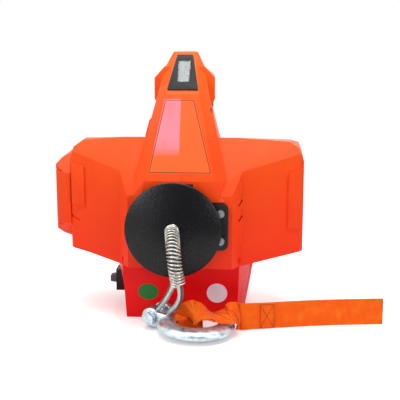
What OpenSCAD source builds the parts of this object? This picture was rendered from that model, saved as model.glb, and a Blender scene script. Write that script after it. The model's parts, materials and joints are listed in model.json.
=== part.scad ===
/* [Casing] */
// Wall of the moulded casing halves
wall = 2.6; // [2:0.1:3.2]
// Half width of the column front
column_half_w = 48.5; // [46:0.5:50]
// Depth of the column front ahead of the drum axis
column_front = 58; // [56:0.5:62]
// Height of the underside of the column
column_low = 54; // [52:0.5:56]
// Height of the casing top beside the neck
casing_top = 174; // [172:0.5:178]
// Length of the gearbox pod from the middle of the drum
pod_right = 114; // [112:0.5:120]
// Length of the motor pod from the middle of the drum
pod_left = 106; // [105:0.5:110]
// Depth of the casing behind the drum axis
casing_back = 50; // [49:0.5:54]
// Running gap between parts that only lie side by side
gap = 0.3; // [0.2:0.05:0.35]
// Clearance of a part that is fitted in another
fit = 0.05; // [0.03:0.01:0.08]

/* [Handle] */
// Height of the neck top
neck_top = 250; // [246:1:256]
// Half width of the head block
head_half_w = 29; // [27:0.5:32]
// Half width of the rear grip
grip_half_w = 17; // [15.5:0.5:19]
// Depth of the rear grip
grip_depth = 34; // [33:0.5:36]
// Clear depth of the opening between the column and the grip
finger_depth = 38; // [36:0.5:40]
// Thickness of the rubber skin on the grip
pad_skin = 2; // [1.6:0.1:2.4]

/* [Base] */
// Height of the base
base_h = 62; // [61:0.5:64]
// Wall of the base
base_wall = 3; // [2.6:0.1:3.4]
// Half width of the base at its front edge
base_front_w = 53; // [50:0.5:54]
// Depth of the base front edge ahead of the drum axis, at the floor
base_front = 42; // [40:0.5:44]
// Depth of the base behind the drum axis
base_back = 116; // [112:0.5:118]

/* [Drum and rope] */
// Height of the drum axis above the floor
axis_z = 115; // [114:0.5:116]
// Radius of the drum core
drum_r = 17; // [16.5:0.1:18]
// Radius of the drum flanges
flange_r = 33; // [32:0.5:34]
// Clear width between the drum flanges
drum_w = 52; // [50:0.5:53]
// Diameter of the wire rope
rope_d = 5; // [4.6:0.1:5.4]
// Outer radius of the rope wound on the drum
wound_r = 28; // [27:0.5:29]

/* [Gearbox] */
// Gear module
gear_module = 1.25; // [1.22:0.01:1.27]
// Width of the planet gears
planet_w = 9; // [8:0.5:9.5]
// Play between meshing teeth
backlash = 0.24; // [0.2:0.02:0.3]
// Radius of the planet pins
planet_pin_r = 3; // [2.8:0.1:3.4]

/* [Motor] */
// Radius of the motor can
can_r = 31; // [30:0.5:32]
// Length of the motor can
can_len = 64; // [62:0.5:65]
// Radius of the drive shaft
shaft_r = 4; // [3.8:0.1:4.4]

/* [Guard disc and spring] */
// Diameter of the stop disc
disc_d = 89.5; // [86:0.5:94]
// Coil diameter of the spring guard, over the wire
guard_od = 13.6; // [13:0.1:14]
// Wire diameter of the spring guard
guard_wire = 1.6; // [1.4:0.05:1.7]
// Curls of the spring guard
guard_curls = 21; // [18:1:22]

/* [Hooks and strap] */
// Radius of the middle line of the front hook's bowl
bowl_r = 28; // [27:0.5:29]
// Thickness of the hook's bowl
bowl_t = 11; // [10:0.5:12]
// Width of the hook's bowl in its own plane
bowl_w = 18; // [16:0.5:19]
// Radius of the clevis bolts
bolt_r = 4; // [3.6:0.1:4.2]
// Width of the strap webbing
strap_w = 25; // [24:0.5:26]
// Thickness of the strap webbing
strap_t = 1.2; // [1:0.1:1.4]

/* [Hidden] */

// Driving values of the casing that have no slider
axis_y = 0;
overrun = 1;
bevel_w = 57;
bevel_y = -45.5;
pod_front_out = -36;
pod_back_out = 34;
pod_back_in = 42;
pod_corner = 3;
pod_knee_in = 18;
pod_knee_z = 63;
pod_tip_z = 67;
pod_shoulder_z = 152;
pod_shoulder = [[0, 0], [-4, 12], [-13, 18]];
top_flat_w = 36;
slant_foot_z = 123;
slant_top_y = -28;
slant_top_z = 173;
back_top_y = 26;
back_top_z = 161;
back_slope_z = 146;
form_low = 40;

// The neck: a lower face that leans back, and an upper one for the display
foot_y = -60.5;
foot_z = 137;
crease_y = -24;
crease_z = 213;
neck_top_y = 14;
neck_foot_w = 32.5;
neck_crease_w = 15.6;
neck_top_w = 8.8;
neck_start_z = 118;
neck_skirt = 3.5;
neck_root_y = -56;
neck_root_w = 47.5;
neck_back = 44;
neck_back_taper = 4;
flank_foot_y = -50;
flank_foot_w = 43.5;
flank_mid_z = 174;
flank_mid_y = -30;
flank_mid_w = 33.6;
flank_crease_y = -12;
flank_crease_w = 24;
neck_crease_back = 42;
brow_z = 235;
brow_y = 8;
brow_w = 19.6;
brow_back = 40;
crown_step = 2;
crown_rim = 2.8;
crown_back = 34;
function label_share(z) = (z - foot_z) / (crease_z - foot_z);
function upper_share(z) = (z - crease_z) / (neck_top - crease_z);
function mix(a, b, s) = a + (b - a) * s;
function unit(v) = v / norm(v);
function face_y(z) = z < crease_z ? mix(foot_y, crease_y, label_share(z)) : mix(crease_y, neck_top_y,
    upper_share(z));
function face_w(z) = z < crease_z ? mix(neck_foot_w, neck_crease_w, label_share(z))
    : mix(neck_crease_w, neck_top_w, upper_share(z));
// each ring: z, front y, half width of the face, y of the flank edge, half width of the flank, back y
neck_rings = [
    [neck_start_z, foot_y, neck_foot_w + neck_skirt, neck_root_y, neck_root_w, neck_back],
    [foot_z, foot_y, neck_foot_w, flank_foot_y, flank_foot_w, neck_back],
    [flank_mid_z, face_y(flank_mid_z), face_w(flank_mid_z), flank_mid_y, flank_mid_w, neck_back],
    [crease_z, crease_y, neck_crease_w, flank_crease_y, flank_crease_w, neck_crease_back],
    [brow_z, face_y(brow_z), face_w(brow_z), brow_y, brow_w, brow_back],
    [neck_top, neck_top_y, neck_top_w, neck_top_y + crown_step, neck_top_w + crown_rim, crown_back]
];
// The head bridges the neck and the grip and slopes down to the back
head_front = 2;
head_low = 198;
head_h = 39;
head_top = head_low + head_h;
head_side_low = 8;
head_side_high = 28;
head_lip = 4;
head_top_w = 19;
head_full_y = 5;
head_taper_y = 70;
// depth and drop below the head's top, then how far ahead of the grip's back and up from the head's foot
head_slope = [[15, 5], [38, 17], [70, 21]];
head_tail = [[10, 14], [-4, 10], [-4, 5]];
tail_back = 124;
tail_top = 112;
tail_half_w = 30;
grip_y = casing_back + finger_depth;
grip_back = grip_y + grip_depth;
grip_chamfer = 8;
grip_flare = 5;
grip_skin = 1;
grip_low = 108;
grip_straight_low = 122;
grip_neck = 16;
grip_bite = 2;
grip_straight_top = head_low - grip_neck;
grip_high = head_low + grip_bite;
tail_round = 8;
tail_shoulder = 6;
tail_end_round = 12;
tail_front = 40;

// Outlines of the casing, each in two of the three axes
function mirrored(half) = concat(half, [for (i = [len(half) - 1:-1:0]) [-half[i].x, half[i].y]]);
front_half_right = [
    [bevel_w, column_low], [pod_right - pod_knee_in, pod_knee_z], [pod_right, pod_tip_z],
    for (s = pod_shoulder) [pod_right + s.x, pod_shoulder_z + s.y], [top_flat_w, casing_top]
];
front_half_left = [
    for (p = front_half_right) [p.x > bevel_w ? p.x - pod_right + pod_left : p.x, p.y]
];
body_front = concat(front_half_right,
    [for (i = [len(front_half_left) - 1:-1:0]) [-front_half_left[i].x, front_half_left[i].y]]);
body_plan = [
    [column_half_w, -column_front], [bevel_w, bevel_y],
    [pod_right - pod_corner, pod_front_out], [pod_right, pod_front_out + pod_corner],
    [pod_right, pod_back_out], [pod_right - pod_corner - pod_corner, pod_back_in],
    [bevel_w, casing_back], [-bevel_w, casing_back],
    [-pod_left + pod_corner + pod_corner, pod_back_in], [-pod_left, pod_back_out],
    [-pod_left, pod_front_out + pod_corner], [-pod_left + pod_corner, pod_front_out],
    [-bevel_w, bevel_y], [-column_half_w, -column_front]
];
body_side = [
    [-column_front, form_low], [casing_back, form_low], [casing_back, back_slope_z],
    [back_top_y, back_top_z], [slant_top_y, slant_top_z], [-column_front, slant_foot_z]
];
head_outline = mirrored([[head_half_w - head_lip, head_low], [head_half_w, head_low + head_side_low],
    [head_half_w, head_low + head_side_high], [head_top_w, head_top]]);
head_plan = mirrored([[head_half_w, head_front], [head_half_w, head_full_y],
    [grip_half_w + grip_flare, head_taper_y], [grip_half_w + grip_flare, grip_back + grip_flare]]);
head_side = concat([[head_front, head_low], [grip_back - grip_flare, head_low]],
    [for (i = [2:-1:0]) [grip_back - head_tail[i].x, head_low + head_tail[i].y]],
    [for (i = [2:-1:0]) [head_slope[i].x, head_top - head_slope[i].y]], [[head_front, head_top + overrun]]);
tail_outline = mirrored([[tail_half_w, column_low], [tail_half_w, tail_top - tail_round],
    [tail_half_w - tail_shoulder, tail_top]]);
tail_plan = mirrored([[tail_half_w, tail_front], [tail_half_w, tail_back - tail_end_round],
    [tail_half_w - tail_round, tail_back]]);
tail_side = [[tail_front, column_low], [tail_back, column_low], [tail_back, tail_top - tail_round],
    [tail_back - tail_shoulder, tail_top + overrun], [tail_front, tail_top + overrun]];

// The base: half widths and depths at the floor and at its top
base_mid_w = 60;
base_mid_y = 8;
base_rear_w = 58;
base_rear_y = 62;
base_back_w = 40;
base_flare = 11;
base_lean = 8;
base_front_rise = 2.5;
base_rear_rise = 8;
base_back_rise = 4;
base_floor_ring = [[base_front_w, -base_front], [base_mid_w, base_mid_y], [base_rear_w, base_rear_y],
    [base_back_w, base_back]];
base_top_ring = [[base_front_w + base_front_rise, -base_front - base_lean], [base_mid_w + base_flare,
    base_mid_y],
    [base_rear_w + base_rear_rise, base_rear_y], [base_back_w + base_back_rise, base_back + base_back_rise]];

// Places shared by the pieces of the frame
plate_t = 3;
flange_in = 3;
drum_play = 1;
plate_x = drum_w / 2 + flange_in + drum_play;
plate_r = 44;
tie_r = 4;
hub_r = 15;
bush_wall = 3;
rope_x = -5.5;
rope_z = 94.5;
core_bore = 12;

// Gear train: two planetary stages share one ring
sun_teeth = 15;
planet_teeth = 15;
ring_teeth = sun_teeth + 2 * planet_teeth;
pressure_angle = 25;
addendum_share = 0.8;
root_share = 1.05;
orbit_r = gear_module * (sun_teeth + planet_teeth) / 2;
ring_r = gear_module * ring_teeth / 2;
ring_wall = 4.5;
ring_outer = ring_r + ring_wall + gear_module;
carrier_t = 4;
carrier_rim = 5;
carrier_r = orbit_r + carrier_rim;
flange_t = 7;
stage_gap = 0.5;
gear_start = plate_x + plate_t + flange_t;
stage_two_x = gear_start + stage_gap;
first_carrier_x = stage_two_x + planet_w + stage_gap;
stage_one_x = first_carrier_x + carrier_t + stage_gap;
cover_play = 2;
cover_x = stage_one_x + planet_w + cover_play;
cover_t = 4;
ring_len = cover_x - gear_start;
brake_play = 2;
brake_x = cover_x + cover_t + brake_play;
rotor_t = 3;
rotor_r = 22;
pad_t = 3;
brake_case_r = 28;

// Motor
can_x = -plate_x - plate_t - can_len;
can_wall = 2.4;
magnet_t = 5;
armature_r = 21;
bearing_r = 8;
bearing_w = 5;

// Round threads and screws
screw_r = 1.9;
screw_head_r = 3.6;
screw_head_h = 2.4;
boss_r = 4.6;
nut_share = 1.7;

// A polygon moved inwards by d
function turn(a, b) = a.x * b.y - a.y * b.x;
function side_line(p, q, d) = let(v = (q - p) / norm(q - p)) [p + d * [-v.y, v.x], v];
function crossing(l, m) = l[0] + l[1] * turn(m[0] - l[0], m[1]) / turn(l[1], m[1]);
function inset(points, d) = let(n = len(points)) [
    for (i = [0:n - 1])
        crossing(side_line(points[(i + n - 1) % n], points[i], d), side_line(points[i],
            points[(i + 1) % n], d))
];
function at_height(points, z) = [for (p = points) [p.x, p.y, z]];

module loft(rings) {
    n = len(rings[0]);
    m = len(rings);
    sides = [
        for (j = [0:m - 2], i = [0:n - 1])
            let(a = j * n + i, b = j * n + (i + 1) % n)
                each [[a, a + n, b + n], [a, b + n, b]]
    ];
    caps = [[for (i = [0:n - 1]) i], [for (i = [n - 1:-1:0]) (m - 1) * n + i]];
    polyhedron([for (r = rings) each r], concat(caps, sides), convexity = 6);
}

module along_x(x, y = axis_y, z = axis_z) translate([x, y, z]) rotate([90, 0, 90]) children();
module front_slab(points, y0, y1) translate([0, y1, 0]) rotate([90, 0,
    0]) linear_extrude(y1 - y0) polygon(points);
module side_slab(points, x0, x1) translate([x0, 0, 0]) rotate([90, 0,
    90]) linear_extrude(x1 - x0) polygon(points);
module rod_x(r, x0, x1, y = axis_y, z = axis_z)
    translate([x0, y, z]) rotate([0, 90, 0]) cylinder(r = r, h = x1 - x0, $fn = 48);
module rod_y(r, y0, y1, x, z) translate([x, y1, z]) rotate([90, 0, 0]) cylinder(r = r, h = y1 - y0, $fn = 48);

// A block that has the given outline from the front, from above and from the side
module crossed(front, plan, side, d, x_reach, y_reach, z_reach) intersection() {
    front_slab(inset(front, d), -y_reach, y_reach);
    linear_extrude(z_reach) polygon(inset(plan, d));
    side_slab(inset(side, d), -x_reach, x_reach);
}

reach_x = 200;
reach_y = 180;
reach_z = 300;

module body_form(d) crossed(body_front, body_plan, body_side, d, reach_x, reach_y, reach_z);
module head_form(d) crossed(head_outline, head_plan, head_side, d, reach_x, reach_y, reach_z);
module tail_form(d) crossed(tail_outline, tail_plan, tail_side, d, reach_x, reach_y, reach_z);

function neck_ring(r, d) = at_height(
    inset([[-r[2], r[1]], [r[2], r[1]], [r[4], r[3]], [r[4] - neck_back_taper, r[5]],
        [neck_back_taper - r[4], r[5]], [-r[4], r[3]]], d), r[0]);
module neck_form(d) loft([
    for (i = [0:5]) let(r = neck_rings[i]) neck_ring(i == 5 ? concat([r[0] - d],
        [for (k = [1:5]) r[k]]) : r, d)
]);

function grip_ring(z, w, y0, y1, d) = let(c = grip_chamfer) at_height(inset([
    [-w + c, y0], [w - c, y0], [w, y0 + c], [w, y1 - c], [w - c, y1], [-w + c, y1], [-w, y1 - c], [-w, y0 + c]
], d), z);
module grip_form(d) loft([
    grip_ring(grip_low, grip_half_w + grip_flare, grip_y - grip_flare, tail_back - grip_skin, d),
    grip_ring(grip_straight_low, grip_half_w, grip_y, grip_back, d),
    grip_ring(grip_straight_top, grip_half_w, grip_y, grip_back, d),
    grip_ring(grip_high, grip_half_w + grip_flare, grip_y - grip_flare, grip_back + grip_flare - grip_skin, d)
]);

// The step moulded on the left flank only
step_outline = [[-37.2, 164], [-20, 164], [-20, 189], [-30.9, 189], [-33.2, 186.5], [-37.2, 172]];
step_front = -8;
step_back = 34;
module flank_step() front_slab(step_outline, step_front, step_back);

module casing_form(d) union() {
    body_form(d);
    neck_form(d);
    head_form(d);
    tail_form(d);
    grip_form(d);
}

// Ridges and raised panels on the pod fronts
panel_t = 2;
panel_in = 14;
panel_edge = 1.5;
panel_right = [[pod_right - panel_in, 90], [pod_right - panel_edge, 88], [pod_right - panel_edge, 146],
    [pod_right - panel_in, 142]];
panel_left = [[-pod_left + panel_edge, 110], [-pod_left + panel_in, 108], [-pod_left + panel_in, 146],
    [-pod_left + panel_edge, 150]];
recess_t = 1.2;
recess_in = 9;
panel_recess = [[-pod_left - overrun, 98.5], [-pod_left + recess_in, 93], [-pod_left + recess_in, 94.6],
    [-pod_left - overrun, 100.1]];
module pod_panels() intersection() {
    union() {
        front_slab(panel_right, -reach_y, 0);
        front_slab(panel_left, -reach_y, 0);
    }
    difference() {
        body_form(-panel_t);
        body_form(wall / 2);
    }
}

// Boss and screw places that join the two halves: y, z, half length
screw_places = [[106, head_low + 7, 21.5], [106, 116, 19], [20, head_low + 15, 27], [60, 66, 30],
    [-18, 196, 28]];
screw_half = 12;
screw_way = 14;
boss_reach = 9;

mouth_w = 26;
mouth_h = 22;
mouth_deep = 12;
mouth_ahead = 5;
slot_size = [7, 6, 1.6];
slot_at = [55.4, -46.6];
slot_heights = [100, 114.8];
slot_turn = [0, -48, 25];
can_mouth_r = 33.5;
window_ahead = 2;
window_deep = 8.6;
module casing_cuts() {
    // rope mouth
    translate([rope_x - mouth_w / 2, -column_front - mouth_ahead, rope_z - mouth_h / 2])
        cube([mouth_w, mouth_deep, mouth_h]);
    // slots beside the fairlead
    for (z = slot_heights) translate([slot_at.x, slot_at.y, z])
        rotate([0, 0, slot_turn.z]) rotate([0, slot_turn.y, 0]) cube(slot_size, center = true);
    // groove under the left panel
    difference() {
        front_slab(panel_recess, -reach_y, 0);
        body_form(recess_t);
    }
    // seat of the display
    display_pocket();
    // mouth of the motor pod under its cap
    along_x(-pod_left - overrun) linear_extrude(wall + 2 * overrun) circle(r = can_mouth_r, $fn = 96);
    // swivel shank
    rod_y(shank_r + gap, tail_back - wall - overrun, tail_back + overrun, 0, swivel_z);
    // trigger window and the cross bar's way
    translate([-trigger_half_w - gap, grip_y - window_ahead, trigger_low - overrun - gap])
        cube([2 * (trigger_half_w + gap), window_deep,
            trigger_z + trigger_brow + overrun + 2 * gap - trigger_low]);
    rod_x(bar_r + gap, -tail_half_w, tail_half_w, bar_y, bar_z);
}

// The display leans with the upper face of the neck
display_tilt = atan((neck_top - crease_z) / (neck_top_y - crease_y));
display_bottom_w = 14.6;
display_top_w = 7.6;
display_start = 4.5;
display_len = 44;
display_lip = 1.5;
display_proud = 1.2;
display_round = 1.5;
display_deep = 3.4;
pocket_deep = 6;
pocket_h = 9;
window_start = 14.2;
window_len = 27.2;
window_half = [5.3, 5.95];
window_ledge = 1;
lens_t = 1.4;
lens_sink = 0.6;
module_sink = 2.6;
module_t = 1.9;
ease_steps = 4;
// A polygon with each corner drawn in along a curve that starts c from it
function eased(points, c) = let(n = len(points)) [
    for (i = [0:n - 1]) let(
        p = points[i], a = p + c * unit(points[(i + n - 1) % n] - p),
            b = p + c * unit(points[(i + 1) % n] - p))
        for (k = [0:ease_steps]) let(t = k / ease_steps) (1 - t) * (1 - t) * a + 2 * t * (1 - t) * p + t * t * b
];
module on_display(h) translate([0, crease_y, crease_z]) rotate([display_tilt, 0, 0]) translate([0, 0,
    h]) children();
module display_shape(d) translate([0, display_start]) polygon(eased(inset(
    mirrored([[display_bottom_w, 0], [display_top_w, display_len]]), d), display_round));
module window_shape(d) translate([0, window_start]) polygon(inset(
    mirrored([[window_half.x, 0], [window_half.y, window_len]]), d));
module display_pocket() on_display(-pocket_deep) linear_extrude(pocket_h) display_shape(display_lip);

module display_bezel() color("black") difference() {
    union() {
        on_display(fit) linear_extrude(display_proud) display_shape(0);
        on_display(-display_deep) linear_extrude(display_deep + fit) display_shape(display_lip + fit);
    }
    on_display(-display_deep - overrun) linear_extrude(pocket_h) window_shape(window_ledge);
    on_display(-lens_sink) linear_extrude(pocket_h) window_shape(0);
}
module display_lens() color("lightgray", 0.6)
    on_display(-lens_sink + fit) linear_extrude(lens_t) window_shape(fit);
module display_module() color("slategray")
    on_display(-module_sink) linear_extrude(module_t) window_shape(window_ledge + fit);

// Casing halves: one shell, split on the seam
module screw_bosses(side) intersection() {
    for (p = screw_places) rod_x(boss_r, side > 0 ? 0 : -p[2] - boss_reach, side > 0 ? p[2] + boss_reach : 0,
        p[0], p[1]);
    casing_form(wall / 2);
}
trigger_boss_r = 3.4;
trigger_boss_x = 6;
module trigger_bosses(side) rod_x(trigger_boss_r, side > 0 ? trigger_boss_x : -grip_half_w + wall / 2,
    side > 0 ? grip_half_w - wall / 2 : -trigger_boss_x, trigger_y, trigger_z);

module casing_half(side) difference() {
    union() {
        intersection() {
            union() {
                difference() {
                    union() {
                        casing_form(0);
                        pod_panels();
                        if (side < 0) flank_step();
                    }
                    casing_form(wall);
                }
                pillar_tops();
            }
            translate([side > 0 ? 0 : -reach_x, -reach_y, 0]) cube([reach_x, 2 * reach_y, reach_z]);
        }
        screw_bosses(side);
        trigger_bosses(side);
    }
    casing_cuts();
    for (p = screw_places) {
        if (side > 0) {
            rod_x(screw_r + gap, -overrun, p[2], p[0], p[1]);
            rod_x(screw_head_r + gap, p[2] - head_sink, p[2] + screw_way, p[0], p[1]);
        } else rod_x(screw_r + fit, -screw_half - overrun, overrun, p[0], p[1]);
    }
    rod_x(pin_r + fit, -grip_half_w + wall, grip_half_w - wall, trigger_y, trigger_z);
    for (p = pillar_places) translate([p.x, p.y, column_low - overrun]) {
        cylinder(r = screw_r + fit, h = pillar_bite, $fn = 32);
    }
}
module casing_left() color("orangered") casing_half(-1);
module casing_right() color("orangered") casing_half(1);

module casing_screws() color("silver") {
    for (p = screw_places) {
        rod_x(screw_r, -screw_half, p[2] - head_sink + fit, p[0], p[1]);
        rod_x(screw_head_r, p[2] - head_sink + fit, p[2] - head_sink + screw_head_h, p[0], p[1]);
    }
    for (p = pillar_places) translate([p.x, p.y, 0]) {
        translate([0, 0, base_sink]) cylinder(r = screw_head_r, h = screw_head_h, $fn = 32);
        translate([0, 0, base_sink]) cylinder(r = screw_r, h = column_low + screw_bite - base_sink, $fn = 32);
    }
}

// Bosses over the base pillars
module pillar_tops() intersection() {
    for (p = pillar_places) translate([p.x, p.y, column_low]) cylinder(r = boss_r, h = pillar_bite + wall,
        $fn = 32);
    casing_form(0);
}

// The cap over the motor: a dished form with a boss and two grooves
cap_len = 16;
cap_boss_r = 8.6;
cap_boss_h = 1.6;
cap_half_h = 40;
cap_shoulder = [[0, 40], [-4, 40], [-9.5, 37], [-15, 31], [-16, 21.5]];
cap_depth = 35;
cap_corner = 16;
cap_plan_shoulder = [[0, 35], [-4, 35], [-9.5, 32.4], [-15, 27], [-16, 19]];
groove_t = 1;
groove_w = 1.2;
groove_rise = 26;
function cap_outline(shoulder, c) = concat(
    [for (i = [len(shoulder) - 1:-1:0]) [-pod_left + shoulder[i].x, c - shoulder[i].y]],
    [for (p = shoulder) [-pod_left + p.x, c + p.y]]);
function corner_cut(w, h, c, z) = [
    [w - c, z - h], [w, z - h + c], [w, z + h - c], [w - c, z + h],
    [-w + c, z + h], [-w, z + h - c], [-w, z - h + c], [-w + c, z - h]];
module cap_form(d) crossed(cap_outline(cap_shoulder, axis_z), cap_outline(cap_plan_shoulder, 0),
    corner_cut(cap_depth, cap_half_h, cap_corner, axis_z), d, reach_x, reach_y, reach_z);
module motor_end_cap() color("orangered") difference() {
    union() {
        cap_form(0);
        rod_x(cap_boss_r, -pod_left - cap_len - cap_boss_h, -pod_left - cap_len + overrun);
    }
    cap_form(wall);
    rod_x(can_mouth_r, -pod_left - wall - overrun, -pod_left + overrun);
    for (s = [-1, 1]) difference() {
        translate([-reach_x, -reach_y, axis_z + s * groove_rise - groove_w / 2])
            cube([reach_x - pod_left - cap_len / 2, reach_y, groove_w]);
        cap_form(groove_t);
    }
}

// Base tub with a closed floor
function base_ring(z, d) = let(s = z / base_h) [
    for (p = mirrored([for (i = [0:3]) base_floor_ring[i] * (1 - s) + base_top_ring[i] * s])) p
];
module base_form(d, z0) loft([for (z = [z0, base_h + (d > 0 ? overrun : 0)]) at_height(inset(base_ring(z,
    d), d), z)]);
switch_y = 21;
switch_z = 20.5;
switch_w = 18;
switch_h = 22;
switch_out = 71.5;
switch_in = 50;
vent_count = 5;
vent_pitch = 9;
vent_lead = 22;
vent_low = 18;
vent_size = [20, 2.6, 30];
vent_lean = -8;
rocker_rim = 2;
socket_back = 12;
module base_shell() color("red") difference() {
    union() {
        difference() {
            base_form(0, 0);
            intersection() {
                base_form(base_wall, base_wall);
                translate([-reach_x, -reach_y, 0]) cube([2 * reach_x, 2 * reach_y, base_h - base_wall]);
            }
        }
        for (p = pillar_places) translate([p.x, p.y, overrun]) cylinder(r = boss_r,
            h = column_low - overrun, $fn = 48);
        for (p = board_posts) translate([p.x, p.y, overrun]) cylinder(r = post_r, h = board_z - overrun,
            $fn = 32);
    }
    body_form(-fit);
    tail_form(-fit);
    for (p = pillar_places) translate([p.x, p.y, -overrun]) {
        cylinder(r = screw_r + gap, h = reach_z, $fn = 32);
        cylinder(r = screw_head_r + gap, h = base_sink + screw_head_h + overrun + gap, $fn = 32);
    }
    // switch opening in the left wall
    translate([-reach_x, switch_y - switch_w / 2 + rocker_rim - fit,
        switch_z - switch_h / 2 + rocker_rim - fit])
        cube([reach_x - switch_in + overrun, switch_w - 2 * rocker_rim + 2 * fit,
            switch_h - 2 * rocker_rim + 2 * fit]);
    // cooling slots in the right wall
    for (i = [0:vent_count - 1]) translate([base_mid_w, base_mid_y + i * vent_pitch - vent_lead, vent_low])
        rotate([vent_lean, 0, 0]) cube(vent_size);
    // charging socket
    rod_y(socket_r + fit, base_back - base_wall - socket_len - overrun, base_back + socket_back, 0, socket_z);
}

// Front of the winch
fair_half_w = 45;
fair_low = 73;
fair_high = 117;
fair_t = 4.5;
fair_corner = 6;
fair_y = -column_front;
rope_hole = 9;
fair_screws = [[-38, 82], [-38, 108], [38, 82], [38, 108]];
fair_ring = 2;
fair_seat = 2;
lever_slot = [-2, 13, 105.2];
lever_y = fair_y - fair_t / 2;
lever_z = 109;
lever_pin = 1.4;
lever_pin_bite = 3;
lever_play = 0.5;
pocket_size = [4, 1, 16];
pocket_x = 41;
pocket_z = 86;
module rounded(w, h, r) union() {
    translate([r, 0]) square([w - 2 * r, h]);
    translate([0, r]) square([w, h - 2 * r]);
    for (x = [r, w - r], y = [r, h - r]) translate([x, y]) circle(r = r, $fn = 48);
}
module fairlead_plate() color("dimgray") difference() {
    translate([-fair_half_w, fair_y - fit, fair_low]) rotate([90, 0, 0])
        linear_extrude(fair_t) rounded(2 * fair_half_w, fair_high - fair_low, fair_corner);
    rod_y(rope_hole + fair_ring, fair_y - fair_t - overrun, fair_y + overrun, rope_x, rope_z);
    for (p = fair_screws) rod_y(screw_r + fit, fair_y - fair_t - overrun, fair_y + overrun, p.x, p.y);
    translate([lever_slot[0] - gap, fair_y - fair_t - overrun, lever_slot[2]])
        cube([lever_slot[1] - lever_slot[0] + 2 * gap, fair_t + 2 * overrun, reach_z]);
    rod_x(lever_pin + fit, lever_slot[0] - lever_pin_bite, lever_slot[1] + lever_pin_bite, lever_y, lever_z);
    for (s = [-1, 1]) translate([s * pocket_x - pocket_size.x / 2, fair_y - fair_t - overrun, pocket_z])
        cube([pocket_size.x, pocket_size.y + overrun, pocket_size.z]);
}
// Polished ring that the rope runs through
// its section: distances out from the rope's hole, and forward from its back face
ring_section = [[-3, 1], [-1, 0], [2, 0], [2, 5.5], [0, 6.2], [-2, 5.6], [-3, 4]];
module fairlead_ring() color("silver") translate([rope_x, fair_y + fair_seat, rope_z]) rotate([90, 0, 0])
    rotate_extrude($fn = 64) polygon([for (p = ring_section) [rope_hole + min(p.x, fair_ring - fit), p.y]]);
module fairlead_screws() color("silver") for (p = fair_screws) {
    rod_y(screw_head_r, fair_y - fair_t - screw_head_h, fair_y - fair_t - 2 * fit, p.x, p.y);
    rod_y(screw_r, fair_y - fair_t - screw_head_h / 2, fair_y - fit, p.x, p.y);
}
// lever outline: distances ahead of the casing, and up from its pin
lever_shape = [[4.4, -2], [1, -2.6], [1, 3], [5.2, 9.5], [5.2, 25], [7.4, 26.4], [7.4, 9]];
module limit_lever() color("black") union() {
    side_slab([for (p = lever_shape) [fair_y - p.x, lever_z + p.y]], lever_slot[0], lever_slot[1]);
    rod_x(lever_pin, lever_slot[0] - lever_pin_bite + lever_play, lever_slot[1] + lever_pin_bite - lever_play,
        lever_y, lever_z);
}
disc_stand = 4.2;
disc_back = fair_y - fair_t - disc_stand;
disc_drop = 1.8;
disc_rim = 2.4;
disc_rise = 7;
disc_hub = 9;
disc_play = 2.1;
disc_hole = rope_d / 2 + disc_play;
disc_seat = 15;
disc_seat_h = 3.8;
disc_step = 1;
disc_edge = [1, 0.8, 0.4, 0.6, 1.6];
dome_steps = 6;
module stop_disc() color([0.08, 0.08, 0.09]) translate([rope_x, disc_back, rope_z - disc_drop]) rotate([90,
    0, 0])
    rotate_extrude($fn = 96) polygon([
        [disc_hole, -disc_seat_h], [disc_seat, -disc_seat_h], [disc_seat + disc_step, 0],
        [disc_d / 2 - disc_edge[0], 0], [disc_d / 2, disc_edge[1]],
        [disc_d / 2 - disc_edge[2], disc_rim - disc_edge[3]], [disc_d / 2 - disc_edge[4], disc_rim],
        for (k = [1:dome_steps]) let(t = k / dome_steps) [
            (disc_d / 2 - disc_edge[4]) * (1 - t) + disc_hub * t, disc_rim + disc_rise * sin(90 * t)],
        [disc_hole, disc_rim + disc_rise]
    ]);

// Frame of the winch
octagon_share = sqrt(2) - 1;
function octagon(r) = let(k = r * octagon_share)
    [[r, -k], [r, k], [k, r], [-k, r], [-r, k], [-r, -k], [-k, -r], [k, -r]];
tie_angles = [30, 150, -60];
tie_orbit = 38.2;
function tie_at(a) = [axis_y + tie_orbit * cos(a), axis_z + tie_orbit * sin(a)];
stud_r = 2.4;
nut_h = 3;
module side_plate(side) difference() {
    along_x(side > 0 ? plate_x : -plate_x - plate_t) linear_extrude(plate_t) polygon(octagon(plate_r));
    rod_x(hub_r + bush_wall + fit, -reach_x, reach_x);
    for (a = tie_angles) rod_x(stud_r + fit, -reach_x, reach_x, tie_at(a)[0], tie_at(a)[1]);
}
module motor_side_plate() color("gray") side_plate(-1);
module gear_side_plate() color("gray") side_plate(1);
module tie_bars() color("silver") for (a = tie_angles) {
    rod_x(tie_r, -plate_x + fit, plate_x - fit, tie_at(a)[0], tie_at(a)[1]);
    rod_x(stud_r, -plate_x - plate_t - nut_h, plate_x + plate_t + nut_h, tie_at(a)[0], tie_at(a)[1]);
    for (s = [-1, 1]) translate([s * (plate_x + plate_t + fit + nut_h / 2), tie_at(a)[0], tie_at(a)[1]])
        rotate([0, 90, 0]) cylinder(r = stud_r * nut_share, h = nut_h, center = true, $fn = 6);
}
module drum_bushes() color("goldenrod") for (s = [-1, 1]) difference() {
    rod_x(hub_r + bush_wall, s * plate_x + (s > 0 ? -gap : -plate_t), s * plate_x + (s > 0 ? plate_t : gap));
    rod_x(hub_r + fit, -reach_x, reach_x);
}

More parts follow.
